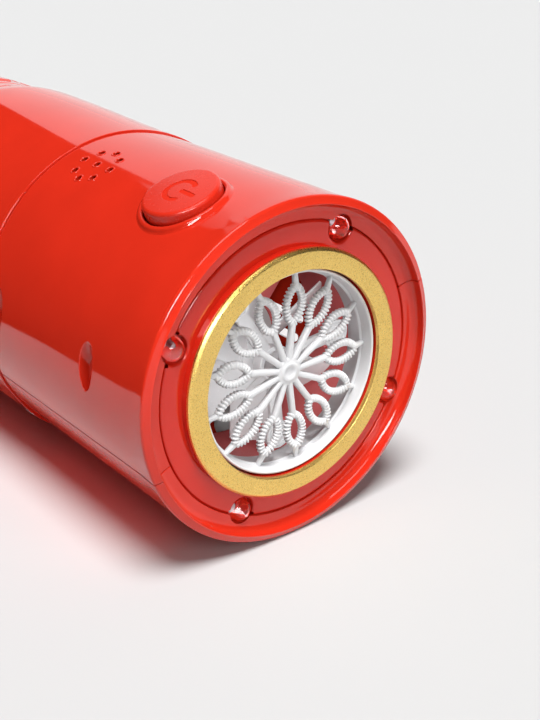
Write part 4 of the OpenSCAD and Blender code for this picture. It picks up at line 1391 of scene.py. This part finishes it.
def glow(name, strength, fade):
    """Light of a studio card; with a fade it grows from black at the card's low-x end."""
    material = bpy.data.materials.new(name)
    material.use_nodes = True
    nodes, links = material.node_tree.nodes, material.node_tree.links
    nodes.clear()
    light = nodes.new("ShaderNodeEmission")
    light.inputs["Strength"].default_value = strength
    if fade:
        place = nodes.new("ShaderNodeTexCoord")
        split = nodes.new("ShaderNodeSeparateXYZ")
        grow = nodes.new("ShaderNodeMapRange")
        grow.inputs["From Max"].default_value = 1 / fade
        grow.inputs["To Max"].default_value = strength
        links.new(place.outputs["Generated"], split.inputs["Vector"])
        links.new(split.outputs["X"], grow.inputs["Value"])
        links.new(grow.outputs["Result"], light.inputs["Strength"])
    end = nodes.new("ShaderNodeOutputMaterial")
    links.new(light.outputs["Emission"], end.inputs["Surface"])
    return material


def sheet(name, corners, look):
    """Flat four-cornered piece of the studio."""
    mesh = bpy.data.meshes.new(name)
    mesh.from_pydata([tuple(corner) for corner in corners], [], [range(4)])
    mesh.materials.append(look)
    made = bpy.data.objects.new(name, mesh)
    bpy.context.scene.collection.objects.link(made)
    return made


def card(name, corner, across, up, strength, fade=0):
    """Studio card that only shows in reflections: bright, or black where its strength is zero."""
    corners = (corner, corner + across, corner + across + up, corner + up)
    made = sheet(name, corners, glow(name, strength, fade))
    made.visible_camera = made.visible_diffuse = made.visible_shadow = False


def light_box(name, middle, across, up, strength):
    """Bright card round its middle."""
    card(name, middle - (across + up) / 2, across, up, strength)


def reflection_cards():
    """White cards behind, a dark flag at the left, and boxes over the camera and the blower."""
    far = 1.6 * FORWARD
    end = far - 2 * LEFT
    top = 1.27 * UP
    back, high = far + 0.64 * LEFT, far + 1.44 * LEFT
    card("back_card", back, end - back, top, 0.95)
    card("high_card", high + top, end - high, 2.4 * UP - top, 0.95, 3)
    card("left_flag", -0.6 * FORWARD + 0.124 * LEFT, 0.9 * FORWARD, 0.3 * UP, 0)
    light_box("camera_box", -0.7 * FORWARD + 0.4 * UP, 0.5 * LEFT, 0.18 * UP, 22)
    above = np.array([-0.16, -0.2, 0.8])
    light_box("overhead_box", above, np.array([0.5, 0, 0]), np.array([0, 0.5, 0]), 4)


def floor_paper(context):
    """Large sheet of matt pale paper."""
    colour = context.scene.blower_colours.floor
    finish = Finish("floor_paper", Roughness=1.0, Specular_IOR_Level=0.0)
    fibre = finish.noise(0.6, 3)
    look = finish.set(Base_Color=finish.mix(fibre, shade(colour, 0.995), shade(colour, 1.005)),
                      Normal=finish.bump(fibre, 0.002))
    reach = 12
    sheet("floor", ((-reach, -reach, 0), (reach, -reach, 0), (reach, reach, 0), (-reach, reach, 0)), look)


def hidden_light(name, kind, energy):
    """Light that doesn't show in reflections; the cards do that."""
    data = bpy.data.lights.new(name, kind)
    data.energy = energy
    made = bpy.data.objects.new(name, data)
    made.visible_glossy = False
    bpy.context.scene.collection.objects.link(made)
    return made


def soft_sun(name, strength, spread, direction):
    """Even soft light from a direction."""
    made = hidden_light(name, "SUN", strength)
    made.data.angle = math.radians(spread)
    made.rotation_euler = Vector(direction).to_track_quat("Z", "Y").to_euler()


def linked(light, names, state):
    """Lets a light reach only the named objects, or all but them."""
    group = bpy.data.collections.new(light.name)
    for name in names:
        group.objects.link(bpy.data.objects[name])
    for entry in group.collection_objects:
        entry.light_linking.link_state = state
    light.light_linking.receiver_collection = group
    return group


def bore_light(power, place, target):
    """Narrow lamp from the camera's side for what lies behind the wheel."""
    made = hidden_light("bore_light", "SPOT", power)
    made.data.spot_size = 2.2 * math.atan(BORE_R / 1000 / np.linalg.norm(place - target))
    made.data.spot_blend = 0.2
    made.data.shadow_soft_size = 0.01
    made.location = place
    made.rotation_euler = Vector(place - target).to_track_quat("Z", "Y").to_euler()
    front = ["wheel_of_wands", "face_disc", "ring_trim"]
    made.light_linking.blocker_collection = linked(made, front, "EXCLUDE")


def red_bounce(power):
    """Glow of the red housing on the floor beside it."""
    made = hidden_light("red_bounce", "AREA", power)
    made.data.color = (1, 0.07, 0.06)
    made.data.shape = "RECTANGLE"
    made.data.size, made.data.size_y = 0.036, 0.1
    made.location = (-0.02, -0.022, 0.007)
    made.rotation_euler = (0, math.radians(20), 0)
    made.visible_camera = False
    linked(made, ["floor"], "INCLUDE")


def studio_world(scene):
    """Pale backdrop for the camera, nearly dark for everything else."""
    world = bpy.data.worlds.new("studio")
    world.use_nodes = True
    nodes, links = world.node_tree.nodes, world.node_tree.links
    path = nodes.new("ShaderNodeLightPath")
    shown = nodes.new("ShaderNodeMix")
    shown.data_type = "RGBA"
    for socket, grey in ((6, 0.04), (7, 0.86)):
        shown.inputs[socket].default_value = (grey, grey, grey, 1)
    links.new(path.outputs["Is Camera Ray"], shown.inputs[0])
    links.new(shown.outputs[2], nodes["Background"].inputs["Color"])
    scene.world = world


def studio_camera(scene):
    """The photograph's camera."""
    camera = bpy.data.cameras.new("camera")
    camera.lens = 60
    camera.sensor_width = 36
    camera.clip_start, camera.clip_end = 0.01, 50
    made = bpy.data.objects.new("camera", camera)
    aim = Vector(FORWARD * math.cos(CAMERA_DOWN) - UP * math.sin(CAMERA_DOWN))
    made.matrix_world = Matrix.Translation(CAMERA_PLACE) @ aim.to_track_quat("-Z", "Y").to_matrix().to_4x4()
    scene.collection.objects.link(made)
    scene.camera = made


class BLOWER_OT_stage(bpy.types.Operator):
    """Build the floor, the lights and the camera"""

    bl_idname = "blower.stage"
    bl_label = "Studio"

    def execute(self, context):
        scene = context.scene
        scene.view_settings.view_transform = "Standard"
        floor_paper(context)
        soft_sun("overhead", 4.6, 24, (-0.14, -0.27, 1))
        soft_sun("front_fill", 1.1, 40, (0.15, -0.92, 0.38))
        bore_light(1.4, np.array(CAMERA_PLACE), BEHIND_WHEEL)
        red_bounce(0.0065)
        studio_world(scene)
        reflection_cards()
        studio_camera(scene)
        return {"FINISHED"}


STEPS = (
    BLOWER_OT_housing, BLOWER_OT_button, BLOWER_OT_face_plate, BLOWER_OT_gold_ring, BLOWER_OT_lamps,
    BLOWER_OT_wand_wheel, BLOWER_OT_bracket, BLOWER_OT_fan, BLOWER_OT_barrel, BLOWER_OT_end_cap,
    BLOWER_OT_inner_pieces, BLOWER_OT_stage,
)


class BLOWER_PT_panel(bpy.types.Panel):
    """Sizes, colours and build steps of the bubble blower"""

    bl_idname = "BLOWER_PT_panel"
    bl_label = "Bubble blower"
    bl_space_type = "VIEW_3D"
    bl_region_type = "UI"
    bl_category = "Blower"

    def draw(self, context):
        for group in (context.scene.blower_sizes, context.scene.blower_colours):
            box = self.layout.box()
            for key in type(group).__annotations__:
                box.prop(group, key)
        for step in STEPS:
            self.layout.operator(step.bl_idname)


CLASSES = (BlowerSizes, BlowerColours, *STEPS, BLOWER_PT_panel)


def register():
    for item in CLASSES:
        bpy.utils.register_class(item)
    bpy.types.Scene.blower_sizes = PointerProperty(type=BlowerSizes)
    bpy.types.Scene.blower_colours = PointerProperty(type=BlowerColours)


def unregister():
    del bpy.types.Scene.blower_colours
    del bpy.types.Scene.blower_sizes
    for item in reversed(CLASSES):
        bpy.utils.unregister_class(item)


def main():
    """Builds every piece and the studio."""
    register()
    for step in STEPS:
        group, name = step.bl_idname.split(".")
        getattr(getattr(bpy.ops, group), name)()


if __name__ == "__main__":
    main()
